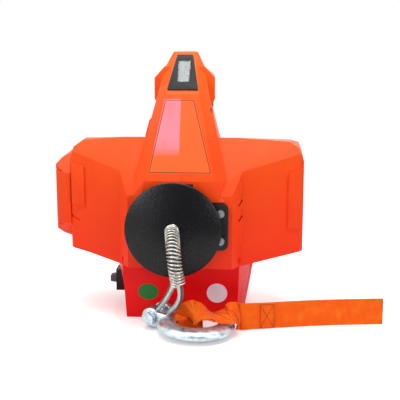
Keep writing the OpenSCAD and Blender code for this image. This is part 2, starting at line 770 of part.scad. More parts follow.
// Drum: core, two flanges and two hubs on a hollow bore
flange_x = drum_w / 2;
module drum() color("dimgray") difference() {
    union() {
        rod_x(drum_r, -flange_x, flange_x);
        for (s = [-1, 1]) rod_x(flange_r, s > 0 ? flange_x : -flange_x - flange_in,
            s > 0 ? flange_x + flange_in : -flange_x);
        rod_x(hub_r, -plate_x - plate_t, hub_end);
    }
    rod_x(core_bore, -reach_x, reach_x);
}
hub_end = plate_x + plate_t + gap;
module wound_rope() color("gray") difference() {
    union() {
        rod_x(wound_r - rope_d / 2, -flange_x + fit, flange_x - fit);
        along_x(-flange_x + fit) rotate_extrude($fn = 96) polygon(rope_layer);
    }
    rod_x(drum_r + fit, -reach_x, reach_x);
}
wraps = floor(drum_w / rope_d);
wrap_pitch = (drum_w - 2 * fit) / wraps;
rope_layer = concat([[drum_r + rope_d, 0]],
    [for (i = [0:wraps - 1], k = [0:5]) let(a = 150 - 24 * k)
        [wound_r - rope_d / 2 + rope_d / 2 * sin(a), (i + (1 + cos(a) / cos(30)) / 2) * wrap_pitch]],
    [[drum_r + rope_d, drum_w - 2 * fit]]);
module output_carrier() color("silver") difference() {
    union() {
        rod_x(carrier_r, hub_end, gear_start);
        planet_pins(gear_start - overrun, stage_two_x + planet_w);
    }
    rod_x(shaft_r + shaft_way, -reach_x, reach_x);
}
shaft_way = 1.2;
planet_angles = [90, 210, 330];
function orbit(a) = [axis_y + orbit_r * cos(a), axis_z + orbit_r * sin(a)];
module planet_pins(x0, x1) for (a = planet_angles) rod_x(planet_pin_r, x0, x1, orbit(a)[0], orbit(a)[1]);

// Gear teeth with straight-sided stub flanks taken from the involute
function involute_angle(r, base) = let(c = acos(min(1, base / r))) tan(c) * 180 / PI - c;
function tooth_half(r, teeth, thin) = let(
    pitch = gear_module * teeth / 2, base = pitch * cos(pressure_angle),
    inv = tan(pressure_angle) * 180 / PI - pressure_angle)
    90 / teeth + inv - involute_angle(max(r, base), base) - thin / 2 / pitch * 180 / PI;
function gear_outline(teeth, tip, root, thin, phase) = [
    for (i = [0:teeth - 1])
        let(mid = phase + i * 360 / teeth, pitch = gear_module * teeth / 2)
            each concat(
                [for (r = [root, (root + pitch) / 2, pitch, tip]) let(a = mid - tooth_half(r, teeth,
                    thin)) r * [cos(a), sin(a)]],
                [for (r = [tip, pitch, (root + pitch) / 2, root]) let(a = mid + tooth_half(r, teeth,
                    thin)) r * [cos(a), sin(a)]])
];
module spur(teeth, phase) polygon(gear_outline(teeth,
    gear_module * (teeth / 2 + addendum_share), gear_module * (teeth / 2 - root_share), backlash / 2, phase));
module planet(stage_x, a) color("silver") difference() {
    along_x(stage_x, orbit(a)[0], orbit(a)[1]) linear_extrude(planet_w) spur(planet_teeth, a);
    rod_x(planet_pin_r + fit, -reach_x, reach_x, orbit(a)[0], orbit(a)[1]);
}
module stage_two_planet_a() planet(stage_two_x, planet_angles[0]);
module stage_two_planet_b() planet(stage_two_x, planet_angles[1]);
module stage_two_planet_c() planet(stage_two_x, planet_angles[2]);
module stage_one_planet_a() planet(stage_one_x, planet_angles[0]);
module stage_one_planet_b() planet(stage_one_x, planet_angles[1]);
module stage_one_planet_c() planet(stage_one_x, planet_angles[2]);
module first_carrier() color("silver") difference() {
    union() {
        along_x(gear_start + gap) linear_extrude(first_carrier_x - gear_start) spur(sun_teeth,
            planet_angles[0]);
        rod_x(carrier_r, first_carrier_x, first_carrier_x + carrier_t);
        planet_pins(first_carrier_x + carrier_t - overrun, stage_one_x + planet_w);
    }
    rod_x(shaft_r + shaft_way, -reach_x, reach_x);
}
module ring_gear() color("gray") along_x(gear_start) linear_extrude(ring_len - fit) difference() {
    circle(r = ring_outer, $fn = 128);
    polygon(gear_outline(ring_teeth, gear_module * (ring_teeth / 2 + root_share),
        gear_module * (ring_teeth / 2 - addendum_share), -backlash / 2, planet_angles[0]));
}
module gearbox_flange() color("silver") difference() {
    rod_x(ring_outer, plate_x + plate_t + fit, gear_start - fit);
    rod_x(carrier_r + gap, -reach_x, reach_x);
}
cover_collar = 4;
module gearbox_cover() color("silver") difference() {
    union() {
        rod_x(ring_outer, cover_x, cover_x + cover_t);
        rod_x(shaft_r + cover_collar, cover_x + cover_t - overrun, cover_x + cover_t + overrun);
    }
    rod_x(shaft_r + fit, -reach_x, reach_x);
}

// Motor, shaft and brake
module motor_can() color("dimgray") difference() {
    rod_x(can_r, can_x, -plate_x - plate_t - fit);
    rod_x(can_r - can_wall, can_x - overrun, -plate_x - plate_t - bearing_w - fit);
    rod_x(bearing_r + fit, -reach_x, reach_x);
}
module motor_magnets() color([0.2, 0.2, 0.22]) difference() {
    rod_x(can_r - can_wall - fit, can_x + magnet_end, -plate_x - plate_t - bearing_w - magnet_end);
    rod_x(can_r - can_wall - magnet_t, -reach_x, reach_x);
    translate([-reach_x, axis_y - magnet_t, 0]) cube([2 * reach_x, 2 * magnet_t, reach_z]);
}
magnet_end = 4;
module bearing(x) difference() {
    rod_x(bearing_r, x + fit, x + bearing_w - fit);
    rod_x(shaft_r + fit, -reach_x, reach_x);
}
module motor_bearings() color("silver") {
    bearing(-plate_x - plate_t - bearing_w);
    bearing(can_x - bell_t);
}
bell_t = 6;
brush_r = 11;
brush_half_w = 3;
module brush_ring() color([0.15, 0.15, 0.16]) difference() {
    union() {
        rod_x(can_r, can_x - bell_t, can_x - fit);
        for (s = [-1, 1]) translate([can_x - overrun, s * brush_y - brush_l / 2, axis_z - brush_half_w])
            cube([brush_w, brush_l, 2 * brush_half_w]);
    }
    rod_x(bearing_r + fit, can_x - bell_t - overrun, can_x - bell_t + bearing_w);
    rod_x(shaft_r + shaft_way, -reach_x, reach_x);
}
brush_l = 8.8;
brush_w = 9;
brush_y = brush_r + brush_l / 2 + fit;
core_inset = 10;
end_turns = 4;
commutator_gap = 2;
shaft_stub = 12.5;
hub_stub = 2.4;
core_slot = [2.4, 3, 8];
end_turn_share = 0.75;
shaft_left = -pod_left - shaft_stub;
shaft_right = brake_x + rotor_t + hub_stub;
module drive_shaft() color("silver") union() {
    rod_x(shaft_r, shaft_left, shaft_right);
    along_x(stage_one_x + gap) linear_extrude(planet_w - gap) spur(sun_teeth, planet_angles[0]);
}
module armature_core() color("chocolate") difference() {
    union() {
        rod_x(armature_r, can_x + core_inset + end_turns, -plate_x - plate_t - bearing_w - core_inset);
        rod_x(brush_r - gap, can_x + commutator_gap, can_x + core_inset + overrun);
        rod_x(armature_r * end_turn_share, can_x + core_inset,
            -plate_x - plate_t - bearing_w - core_inset + end_turns);
    }
    rod_x(shaft_r + fit / 2, -reach_x, reach_x);
    for (a = [0:30:330]) translate([can_x + core_inset + end_turns - overrun, axis_y, axis_z]) rotate([a,
        0, 0])
        translate([0, armature_r - core_slot.y, -core_slot.x / 2]) cube([can_len, core_slot.z, core_slot.x]);
}
fan_stand = 12;
fan_x = -pod_left - fan_stand;
fan_r = 25;
fan_t = 2;
fan_blade = 7;
fan_hub = 4;
blade_t = 1.4;
module cooling_fan() color("black") difference() {
    union() {
        rod_x(fan_r, fan_x, fan_x + fan_t);
        rod_x(shaft_r + fan_hub, fan_x, fan_x + fan_t + fan_blade);
        for (a = [0:45:315]) translate([fan_x + fan_t / 2, axis_y, axis_z]) rotate([a, 0, 0])
            translate([0, shaft_r + fan_hub - blade_t, 0]) cube([fan_blade, fan_r - shaft_r - fan_hub,
                blade_t]);
    }
    rod_x(shaft_r + fit / 2, -reach_x, reach_x);
}
rotor_hub = 3;
pad_w = 8;
brake_lid = 4;
module brake_rotor() color("gray") difference() {
    union() {
        rod_x(rotor_r, brake_x, brake_x + rotor_t);
        rod_x(shaft_r + rotor_hub, brake_x, brake_x + rotor_t + hub_stub);
    }
    rod_x(shaft_r + fit / 2, -reach_x, reach_x);
}
module brake_ring(x0, x1) difference() {
    rod_x(rotor_r, x0, x1);
    rod_x(rotor_r - pad_w, -reach_x, reach_x);
}
module brake_pads() color("saddlebrown") brake_ring(brake_x + rotor_t + gap, brake_x + rotor_t + gap + pad_t);
module brake_case() color("silver") difference() {
    rod_x(brake_case_r, cover_x + cover_t + fit, brake_x + rotor_t + gap + pad_t + fit + brake_lid);
    rod_x(rotor_r + 2 * gap, cover_x + cover_t - overrun, brake_x + rotor_t + gap + pad_t + fit);
}

// Handle
pin_r = 1.6;
trigger_back = 7;
trigger_y = grip_y + trigger_back;
trigger_drop = 19;
trigger_len = 30;
trigger_z = head_low - trigger_drop;
trigger_half_w = 5;
trigger_low = trigger_z - trigger_len;
trigger_brow = 2.5;
trigger_pin_in = 3;
// trigger outline: distances behind the grip's front, and up from its pivot
trigger_shape = [[-1, 2.5], [-6, -6], [-8.5, -18], [-6.5, -28], [-2, -30], [5, -29], [9, -14], [9, 0], [7,
    2.5]];
module trigger() color("black") union() {
    side_slab([for (p = trigger_shape) [grip_y + p.x, trigger_z + p.y]], -trigger_half_w, trigger_half_w);
    rod_x(pin_r, -grip_half_w + wall + trigger_pin_in, grip_half_w - wall - trigger_pin_in, trigger_y,
        trigger_z);
}
switch_back = 13.5;
switch_depth = 11.2;
switch_len = 28;
module trigger_switch() color("dimgray")
    translate([-grip_half_w + wall + gap, grip_y + switch_back, trigger_low + gap])
        cube([2 * (grip_half_w - wall - gap), switch_depth, switch_len]);
bar_r = 4;
bar_reach = 5;
bar_back = 12;
bar_y = grip_y + bar_back;
bar_drop = 7;
bar_z = head_low - bar_drop;
module direction_bar() color("black") rod_x(bar_r, -grip_half_w - bar_reach, grip_half_w + bar_reach,
    bar_y, bar_z);
pad_back = 10;
pad_low = 4;
pad_len = 52;
module grip_pad() color([0.1, 0.1, 0.1]) difference() {
    intersection() {
        grip_form(-pad_skin);
        translate([-reach_x, grip_y + pad_back, grip_straight_low + pad_low]) cube([2 * reach_x, reach_y,
            pad_len]);
    }
    grip_form(-fit);
}

// Electrical parts in the base
pillar_places = [[46, 40], [-46, 40], [22, 104], [-22, 104]];
pillar_bite = 8;
screw_bite = 5;
base_sink = 2.4;
head_sink = 8;
board_posts = [[26, 50], [-26, 50], [26, 88], [-26, 88]];
post_r = 3;
board_z = 20;
board_t = 1.6;
cell_r = 9.1;
cell_len = 65;
cell_pitch = 18.5;
cell_start = -34;
board_start = [-30, 46];
board_size = [60, 46];
can_places = [-15, 5];
can_row = 58;
cap_can_r = 6;
cap_can_h = 16;
sink_start = [-24, 72];
sink_size = [44, 12, 14];
fin_start = [-22, 73];
fin_pitch = 7;
fin_size = [1.6, 10, 6];
post_screw_r = 1.2;
post_screw_h = 4;
cells_across = 5;
module battery_cells() color("steelblue") for (i = [0:cells_across - 1], j = [0, 1])
    rod_y(cell_r, cell_start, cell_start + cell_len, (i - (cells_across - 1) / 2) * cell_pitch,
        base_wall + fit + cell_r + j * cell_pitch);
module control_board() color("darkgreen") difference() {
    union() {
        translate([board_start.x, board_start.y, board_z]) cube([board_size.x, board_size.y, board_t]);
        for (x = can_places) translate([x, can_row, board_z + board_t / 2])
            cylinder(r = cap_can_r, h = cap_can_h, $fn = 48);
        translate([sink_start.x, sink_start.y, board_z + board_t / 2]) cube(sink_size);
        for (i = [0:5]) translate([fin_start.x + i * fin_pitch, fin_start.y, board_z + sink_size.z])
            cube(fin_size);
    }
    for (p = board_posts) translate([p.x, p.y, board_z - overrun]) cylinder(r = post_screw_r,
        h = post_screw_h, $fn = 24);
}
socket_r = 6;
socket_z = 28;
socket_len = 5;
socket_out = 4;
socket_rim = 3;
socket_wall = 2;
module charge_socket() color("black") difference() {
    union() {
        rod_y(socket_r, base_back - base_wall - socket_len, base_back + socket_out, 0, socket_z);
        difference() {
            rod_y(socket_r + socket_rim, base_back, base_back + socket_out, 0, socket_z);
            base_form(-fit, -overrun);
        }
    }
    rod_y(socket_r - socket_wall, base_back - base_wall, base_back + socket_back, 0, socket_z);
}
rocker_sink = 3;
rocker_x = switch_out - rocker_sink;
rocker_half_w = 5;
rocker_r = 4.6;
rocker_pin = 1.4;
rocker_pin_end = 6.6;
rocker_len = 9.5;
rocker_tip = 3.2;
rocker_root = 4.2;
rocker_well = [11, 6.5];
bezel_deep = 14;
bezel_pin_end = 7;
module switch_bezel() color("black") difference() {
    union() {
        difference() {
            translate([-switch_out, switch_y - switch_w / 2, switch_z - switch_h / 2])
                cube([bezel_deep, switch_w, switch_h]);
            base_form(-fit, -overrun);
        }
        translate([-switch_out + rocker_rim, switch_y - switch_w / 2 + rocker_rim,
            switch_z - switch_h / 2 + rocker_rim])
            cube([switch_out - switch_in - rocker_rim, switch_w - 2 * rocker_rim, switch_h - 2 * rocker_rim]);
    }
    translate([-switch_out - overrun, switch_y - rocker_half_w - gap, switch_z - rocker_well.y])
        cube([rocker_well.x, 2 * (rocker_half_w + gap), 2 * rocker_well.y]);
    rod_y(rocker_pin + fit, switch_y - bezel_pin_end, switch_y + bezel_pin_end, -rocker_x, switch_z);
}
module power_rocker() color("gray") union() {
    rod_y(rocker_r, switch_y - rocker_half_w, switch_y + rocker_half_w, -rocker_x, switch_z);
    rod_y(rocker_pin, switch_y - rocker_pin_end, switch_y + rocker_pin_end, -rocker_x, switch_z);
    front_slab([[-rocker_x - rocker_len, switch_z - rocker_tip], [-rocker_x, switch_z - rocker_root],
        [-rocker_x, switch_z + rocker_root], [-rocker_x - rocker_len, switch_z + rocker_tip]],
        switch_y - rocker_half_w, switch_y + rocker_half_w);
}

// Rear swivel
swivel_drop = 2.5;
swivel_z = rope_z - swivel_drop;
stem_half_w = 16;
stem_half_h = 15;
shank_r = 8;
collar_r = 11;
collar_y0 = 76;
collar_len = 10;
collar_y1 = collar_y0 + collar_len;
fork_stand = 4;
fork_y = tail_back + fork_stand;
pin_stand = 32;
rear_pin_y = fork_y + pin_stand;
beam_y = 37;
beam_low = 8;
beam_size = [9, 18];
stem_y = 45;
stem_play = 3;
module swivel_block() color("dimgray") difference() {
    union() {
        translate([-plate_x + fit, beam_y, swivel_z - beam_low]) cube([2 * (plate_x - fit), beam_size.x,
            beam_size.y]);
        translate([-stem_half_w, stem_y, swivel_z - stem_half_h])
            cube([2 * stem_half_w, tail_back - wall - stem_play - stem_y, 2 * stem_half_h]);
    }
    rod_y(shank_r + fit, 0, reach_y, 0, swivel_z);
    rod_y(collar_r + gap, 0, collar_y1 + gap, 0, swivel_z);
}
fork_half_w = 10;
fork_slot = 5.6;
fork_bite = 4;
fork_r = 9;
fork_root = 12;
collar_out = 8;
collar_step = 1;
pin_head_h = 4;
pin_head = 2.4;
pin_clip = 1.6;
pin_clip_h = 2.4;
pin_tail = 0.6;
module swivel_shank() color("silver") difference() {
    union() {
        rod_y(shank_r, collar_y0, fork_y + fork_bite, 0, swivel_z);
        rod_y(collar_r, collar_y0, collar_y1, 0, swivel_z);
        rod_y(collar_r + collar_step, fork_y, fork_y + collar_out, 0, swivel_z);
        translate([-fork_half_w, fork_y + fork_bite, swivel_z - fork_r])
            cube([2 * fork_half_w, rear_pin_y - fork_y - fork_bite, 2 * fork_r]);
        rod_x(fork_r, -fork_half_w, fork_half_w, rear_pin_y, swivel_z);
    }
    translate([-fork_slot, fork_y + fork_root, 0]) cube([2 * fork_slot, reach_y, reach_z]);
    rod_x(bolt_r + fit, -reach_x, reach_x, rear_pin_y, swivel_z);
}
module rear_hook_pin() color("silver") union() {
    rod_x(bolt_r, -fork_half_w - gap - pin_clip_h - pin_tail, fork_half_w + overrun, rear_pin_y, swivel_z);
    rod_x(bolt_r + pin_head, fork_half_w + gap, fork_half_w + pin_head_h, rear_pin_y, swivel_z);
    rod_x(bolt_r + pin_clip, -fork_half_w - gap - pin_clip_h, -fork_half_w - gap, rear_pin_y, swivel_z);
}

// A forged hook in its own frame: load line along +x, opening towards +y
bowl_start = 200;
bowl_sweep = 225;
rear_start = 203;
rear_sweep = 221;
section_points = 12;
function hook_section(w, t) = [
    for (k = [0:section_points - 1]) let(a = 360 * (k + 0.5) / section_points)
        [w / 2 * sign(cos(a)) * pow(abs(cos(a)), 0.8), t / 2 * sign(sin(a)) * pow(abs(sin(a)), 0.8)]
];
tip_root = 1.5;
tip_step = 0.1;
tip_side_share = 1 / 8;
tip_out_share = 0.42;
tip_r_share = 0.34;
neck_slice = 0.8;
module bowl(reach, r, w, t, start, sweep) translate([reach, 0, 0]) {
    rotate([0, 0, start]) rotate_extrude(angle = sweep, $fn = 72) translate([r, 0]) polygon(hook_section(w,
        t));
    rotate([0, 0, start + sweep]) translate([r, 0, 0]) hull() {
        rotate([90, 0, 0]) linear_extrude(tip_root) polygon(hook_section(w - tip_step, t - tip_step));
        translate([-w * tip_side_share, w * tip_out_share, 0]) sphere(r = t * tip_r_share, $fn = 24);
    }
}
module hook_neck(reach, r, w, t, start, from_x, from_w) hull() {
    translate([reach, 0, 0]) rotate([0, 0, start]) translate([r, 0, 0]) rotate([90, 0, 0])
        translate([0, 0, -neck_slice / 2]) linear_extrude(neck_slice) polygon(hook_section(w, t));
    translate([from_x, -from_w / 2, -t / 2]) cube([overrun, from_w, t]);
}
hook_reach = 42;
ear_r = 9.5;
ear_w = 5.5;
ear_h = 13;
clevis_half_w = 12.5;
bar_start = 12;
bar_w = 5;
bar_neck_w = 18;
hook_yaw = -27;
hook_tilt = 2.6;
pin_at = [-20.5, -62.6, 10.5];
module at_hook() translate(pin_at) rotate([0, 0, hook_yaw]) rotate([0, hook_tilt, 0]) children();
module ear(s, r, h) translate([0, s > 0 ? clevis_half_w : -clevis_half_w + h, 0]) rotate([90, 0,
    0]) cylinder(r = r, h = h, $fn = 64);
module front_hook() color([0.85, 0.88, 0.9]) at_hook() difference() {
    union() {
        bowl(hook_reach, bowl_r, bowl_w, bowl_t, bowl_start, bowl_sweep);
        hook_neck(hook_reach, bowl_r, bowl_w, bowl_t, bowl_start, bar_start, bar_neck_w);
        for (s = [-1, 1]) {
            ear(s, ear_r, ear_w);
            translate([0, s > 0 ? clevis_half_w - ear_w : -clevis_half_w, -ear_h / 2])
                cube([bar_start + bar_w / 2, ear_w, ear_h]);
        }
        translate([bar_start, -clevis_half_w, -ear_h / 2]) cube([bar_w, 2 * clevis_half_w, ear_h]);
    }
    translate([0, reach_y, 0]) rotate([90, 0, 0]) cylinder(r = bolt_r + fit, h = 2 * reach_y, $fn = 64);
}
bolt_tail = 6.5;
bolt_head_h = 5;
bolt_nut_h = 4;
module clevis_bolt() color("silver") at_hook() union() {
    translate([0, clevis_half_w + bolt_tail, 0]) rotate([90, 0, 0])
        cylinder(r = bolt_r, h = 2 * clevis_half_w + bolt_tail + overrun, $fn = 48);
    translate([0, -clevis_half_w - gap, 0]) rotate([90, 30, 0])
        cylinder(r = bolt_r * nut_share, h = bolt_head_h, $fn = 6);
    translate([0, clevis_half_w + gap + bolt_nut_h, 0]) rotate([90, 0, 0])
        cylinder(r = bolt_r * nut_share, h = bolt_nut_h, $fn = 6);
}

rear_scale_share = 0.76;
rear_reach = hook_reach * rear_scale_share;
rear_bowl_r = bowl_r * rear_scale_share;
rear_bowl_w = bowl_w * rear_scale_share;
rear_bowl_t = 9.4;
rear_eye_r = 8.5;
rear_eye_t = 10.6;
rear_neck_x = 3;
rear_neck_w = 12;
module at_rear() translate([0, rear_pin_y, swivel_z]) rotate([0, 90, 0]) children();
module rear_hook() color([0.85, 0.88, 0.9]) at_rear() difference() {
    union() {
        bowl(rear_reach, rear_bowl_r, rear_bowl_w, rear_bowl_t, rear_start, rear_sweep);
        hook_neck(rear_reach, rear_bowl_r, rear_bowl_w, rear_bowl_t, rear_start, rear_neck_x, rear_neck_w);
        translate([0, 0, -rear_eye_t / 2]) cylinder(r = rear_eye_r, h = rear_eye_t, $fn = 64);
        latch_lug();
        latch_web();
    }
    translate([0, 0, -reach_x]) cylinder(r = bolt_r + fit, h = 2 * reach_x, $fn = 64);
}
latch_u = 11;
latch_v = 5;
latch_len = 26;
latch_r = 3;
lug_r = 3.2;
lug_w = 5;
latch_pin_end = 0.5;
latch_arm = 5;
latch_arm_end = 6;
latch_bar_x = 4;
latch_bar_y = 1;
latch_angle = 15;
latch_t = 1.6;
latch_in = 3.3;
latch_out = 4.9;
latch_pin = 1.5;
module in_latch() translate([latch_u, latch_v, 0]) rotate([0, 0, latch_angle]) children();
module latch_lug() in_latch() {
    translate([0, 0, -latch_in + gap]) cylinder(r = lug_r, h = 2 * (latch_in - gap), $fn = 40);
    translate([0, 0, -latch_out - latch_pin_end]) cylinder(r = latch_pin,
        h = 2 * (latch_out + latch_pin_end), $fn = 40);
}
module latch_web() rotate([0, 0, atan2(latch_v, latch_u)]) translate([0, -lug_w / 2, -latch_in + gap])
    cube([norm([latch_u, latch_v]), lug_w, 2 * (latch_in - gap)]);
module rear_latch() color("silver") at_rear() in_latch() difference() {
    union() {
        for (s = [latch_in, -latch_out]) translate([0, 0, s]) {
            cylinder(r = latch_r, h = latch_out - latch_in, $fn = 40);
            translate([0, -latch_r, 0]) cube([latch_len - latch_arm_end, latch_arm, latch_out - latch_in]);
        }
        translate([latch_bar_x, latch_bar_y, -latch_out]) cube([latch_len - latch_bar_x, latch_t,
            2 * latch_out]);
    }
    translate([0, 0, -reach_x]) cylinder(r = latch_pin + fit, h = 2 * reach_x, $fn = 40);
}

// Sweeps: a tube or a band along points
function tangent(path, i) = unit(path[min(i + 1, len(path) - 1)] - path[max(i - 1, 0)]);
strand_side = [1, 0.02, 0.01];
module strand(path, r, sides) {
    rings = [for (i = [0:len(path) - 1]) let(
        t = tangent(path, i), b = unit(cross(t, strand_side)), n = cross(b, t))
        [for (k = [0:sides - 1]) let(a = 360 * k / sides) path[i] + r * (cos(a) * n + sin(a) * b)]];
    loft(rings);
}

// The rope's free end hangs out of the disc, in a spring guard, to its eye
guard_bend_r = 25;
guard_bend = 105;
guard_lead = 3;
guard_tail = 12;
guard_drift = 8;
guard_y = disc_back - disc_rim - disc_rise - gap;
guard_arc = guard_bend_r * guard_bend * PI / 180;
guard_len = guard_lead + guard_arc + guard_tail;
function guard_turn(s) = guard_bend * max(0, min(1, (s - guard_lead) / guard_arc));
function guard_at(s) = let(
    a = guard_turn(s), lead = min(s, guard_lead), tail = max(0, s - guard_lead - guard_arc))
    [rope_x + guard_drift * s / guard_len,
        guard_y - lead - guard_bend_r * sin(a) - tail * cos(guard_bend),
        rope_z - guard_bend_r * (1 - cos(a)) - tail * sin(guard_bend)];
function guard_out(s) = let(a = guard_turn(s)) [0, -sin(a), cos(a)];
function guard_along(s) = let(a = guard_turn(s)) [guard_drift / guard_len, -cos(a), -sin(a)];
coil_r = (guard_od - guard_wire) / 2;
coil_steps = 8;
coil_count = guard_curls * coil_steps;
end_flat = guard_wire / 2;
function coil_point(i) = let(
    s = end_flat + (guard_len - 2 * end_flat) * i / coil_count, p = 360 * i / coil_steps)
    guard_at(s) + coil_r * (cos(p) * guard_out(s) + sin(p) * [1, 0, 0]);
coil_run = [for (i = [0:coil_count]) coil_point(i)];
coil_first = coil_run[0] - guard_wire * [1, 0, 0];
coil_last = coil_run[coil_count] + guard_wire * [1, 0, 0];
coil_path = concat([coil_first], coil_run, [coil_last]);
module spring_guard() color([0.78, 0.78, 0.74]) loft([
    for (i = [0:len(coil_path) - 1]) let(
        j = max(0, min(coil_count, i - 1)), s = end_flat + (guard_len - 2 * end_flat) * j / coil_count,
        p = 360 * j / coil_steps, e = cos(p) * guard_out(s) + sin(p) * [1, 0, 0], t = guard_along(s))
        [for (k = [0:5]) let(a = 60 * k + 30) coil_path[i] + guard_wire / 2 * (cos(a) * e + sin(a) * t)]
]);
guard_gap = min([for (i = [0:coil_count], k = [coil_steps - 2:coil_steps + 2]) if (i + k <= coil_count)
    norm(coil_run[i] - coil_run[i + k])]) - guard_wire;
echo(least_gap_between_guard_curls = guard_gap);

rope_route = [
    [-5.5, 0, 84.2], [-5.5, -20, 86], [-5.5, -40, 91], [-5.5, -56, 94.2], [-5.5, -70, 94.5],
    [-5.1, -79.5, 94.5], [-4.3, -86, 93.6], [-3.4, -92, 91], [-2.5, -97, 87.2], [-1.7, -101, 82],
    [-0.8, -103.4, 76], [0, -104.3, 69.5], [0.8, -103.6, 63.5]
];
module rope_lead() color("gray") strand(rope_route, rope_d / 2, 8);

// The rope's end eye round the clevis bolt
eye_r = 7.6;
eye_w = 6;
sleeve_r = 3.4;
sleeve_route = [[0.9, -103.4, 63], [1.6, -101.8, 57], [1.8, -99.6, 50.5], [-0.5, -94.5, 42.5], [-5.5,
    -86.5, 35],
    [-11.5, -77, 28], [-16.5, -69, 22], [-19.2, -64.2, 16]];
module thimble_end() color("lightgray") difference() {
    union() {
        at_hook() rotate([90, 0, 0]) translate([0, 0, -eye_w / 2]) cylinder(r = eye_r, h = eye_w, $fn = 48);
        strand(sleeve_route, sleeve_r, 8);
    }
    at_hook() rotate([90, 0, 0]) translate([0, 0, -reach_x]) cylinder(r = bolt_r + fit, h = 2 * reach_x,
        $fn = 48);
}

// Webbing of the pull strap: middle line and the way its width points
strap_route = [
    [[33.09, -83.89, 14.94], [-0.3, 0.95, -0]], [[29.11, -84.45, 16.91], [-0.32, 0.95, 0.03]],
    [[25.35, -84.69, 18.57], [-0.37, 0.91, 0.18]], [[21.59, -84.47, 19.54], [-0.43, 0.84, 0.33]],
    [[17.68, -84.11, 19.42], [-0.51, 0.74, 0.44]], [[14.79, -83.68, 19.04], [-0.61, 0.62, 0.5]],
    [[10.05, -78.01, 15.56], [-0.7, 0, 0.72]], [[10, -78.3, 11.8], [-0.74, -0.2, 0.64]],
    [[10.8, -78.4, 8.6], [-0.88, -0.36, 0.2]], [[10.9, -78.4, 5.4], [-0.93, -0.37, 0]],
    [[11, -79.6, 2.8], [-0.93, -0.37, 0]], [[11, -80.9, 5.4], [-0.93, -0.37, 0]],
    [[10.8, -80.9, 8.6], [-0.88, -0.36, 0.2]], [[10.2, -80.6, 11.8], [-0.74, -0.2, 0.64]],
    [[9.37, -80, 14.9], [-0.7, 0, 0.72]], [[13.41, -85.35, 19.43], [-0.61, 0.62, 0.5]],
    [[17.37, -85.22, 20.93], [-0.51, 0.74, 0.44]], [[21.74, -85.1, 21.33], [-0.43, 0.84, 0.33]],
    [[25.95, -84.8, 20.37], [-0.37, 0.91, 0.18]], [[29.89, -84.25, 18.63], [-0.32, 0.95, 0.03]],
    [[33.6, -83.72, 16.77], [-0.3, 0.95, -0]], [[37.74, -83.42, 16.35], [-0.29, 0.95, 0.09]],
    [[42.74, -83.22, 17.18], [-0.24, 0.95, 0.17]], [[48.69, -82.78, 18.42], [-0.17, 0.93, 0.34]],
    [[53, -77.5, 16.6], [-0.13, 0.6, 0.79]], [[56, -71.8, 13.4], [-0.05, 0.12, 0.99]],
    [[60, -72, 13.3], [0, 0.1, 1]], [[67, -70, 13.2], [0, 0.05, 1]],
    [[80, -67.5, 13.2], [0, 0.02, 1]], [[100, -62.5, 13.2], [0, 0.02, 1]],
    [[120, -58, 13.2], [0, 0.02, 1]], [[145, -53.5, 13.2], [0, 0.02, 1]],
    [[170, -50, 13.2], [0, 0.02, 1]], [[190, -47.5, 13.2], [0, 0.02, 1]]
];
strap_points = [for (s = strap_route) s[0]];
module pull_strap() color("orange") loft([
    for (i = [0:len(strap_route) - 1]) let(
        t = tangent(strap_points, i), w = strap_route[i][1], u = unit(w - (w * t) * t), n = cross(t, u),
        h = strap_w / 2 * u, g = strap_t / 2 * n)
        [strap_points[i] - h - g, strap_points[i] + h - g, strap_points[i] + h + g, strap_points[i] - h + g]
]);

casing_left();
casing_right();
base_shell();
motor_end_cap();
casing_screws();
display_bezel();
display_lens();
display_module();
fairlead_plate();
fairlead_ring();
fairlead_screws();
limit_lever();
stop_disc();
motor_side_plate();
gear_side_plate();
tie_bars();
drum_bushes();
drum();
wound_rope();
output_carrier();
stage_two_planet_a();
stage_two_planet_b();
stage_two_planet_c();
first_carrier();
stage_one_planet_a();
stage_one_planet_b();
stage_one_planet_c();
ring_gear();
gearbox_flange();
gearbox_cover();
motor_can();
motor_magnets();
motor_bearings();
brush_ring();
drive_shaft();
armature_core();
cooling_fan();
brake_rotor();
brake_pads();
brake_case();
trigger();
trigger_switch();
direction_bar();
grip_pad();
battery_cells();
control_board();
switch_bezel();
power_rocker();
charge_socket();
swivel_block();
swivel_shank();
rear_hook_pin();
rear_hook();
rear_latch();
rope_lead();
spring_guard();
thimble_end();
front_hook();
clevis_bolt();
pull_strap();
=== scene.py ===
"""Looks of a portable swivel crane winch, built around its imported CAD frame.

Everything is in metres in the CAD's own frame: +Z up, the rope side faces -Y,
and the drum and motor lie along X. Sizes in the sub-assemblies' classes and in
the finishes are in millimetres, unless a field's comment says otherwise.
"""

import json
import logging
import math
from dataclasses import dataclass
from enum import Enum

import bmesh  # noqa: E402
import bpy  # noqa: E402
import numpy as np  # noqa: E402
from mathutils import Matrix, Vector  # noqa: E402

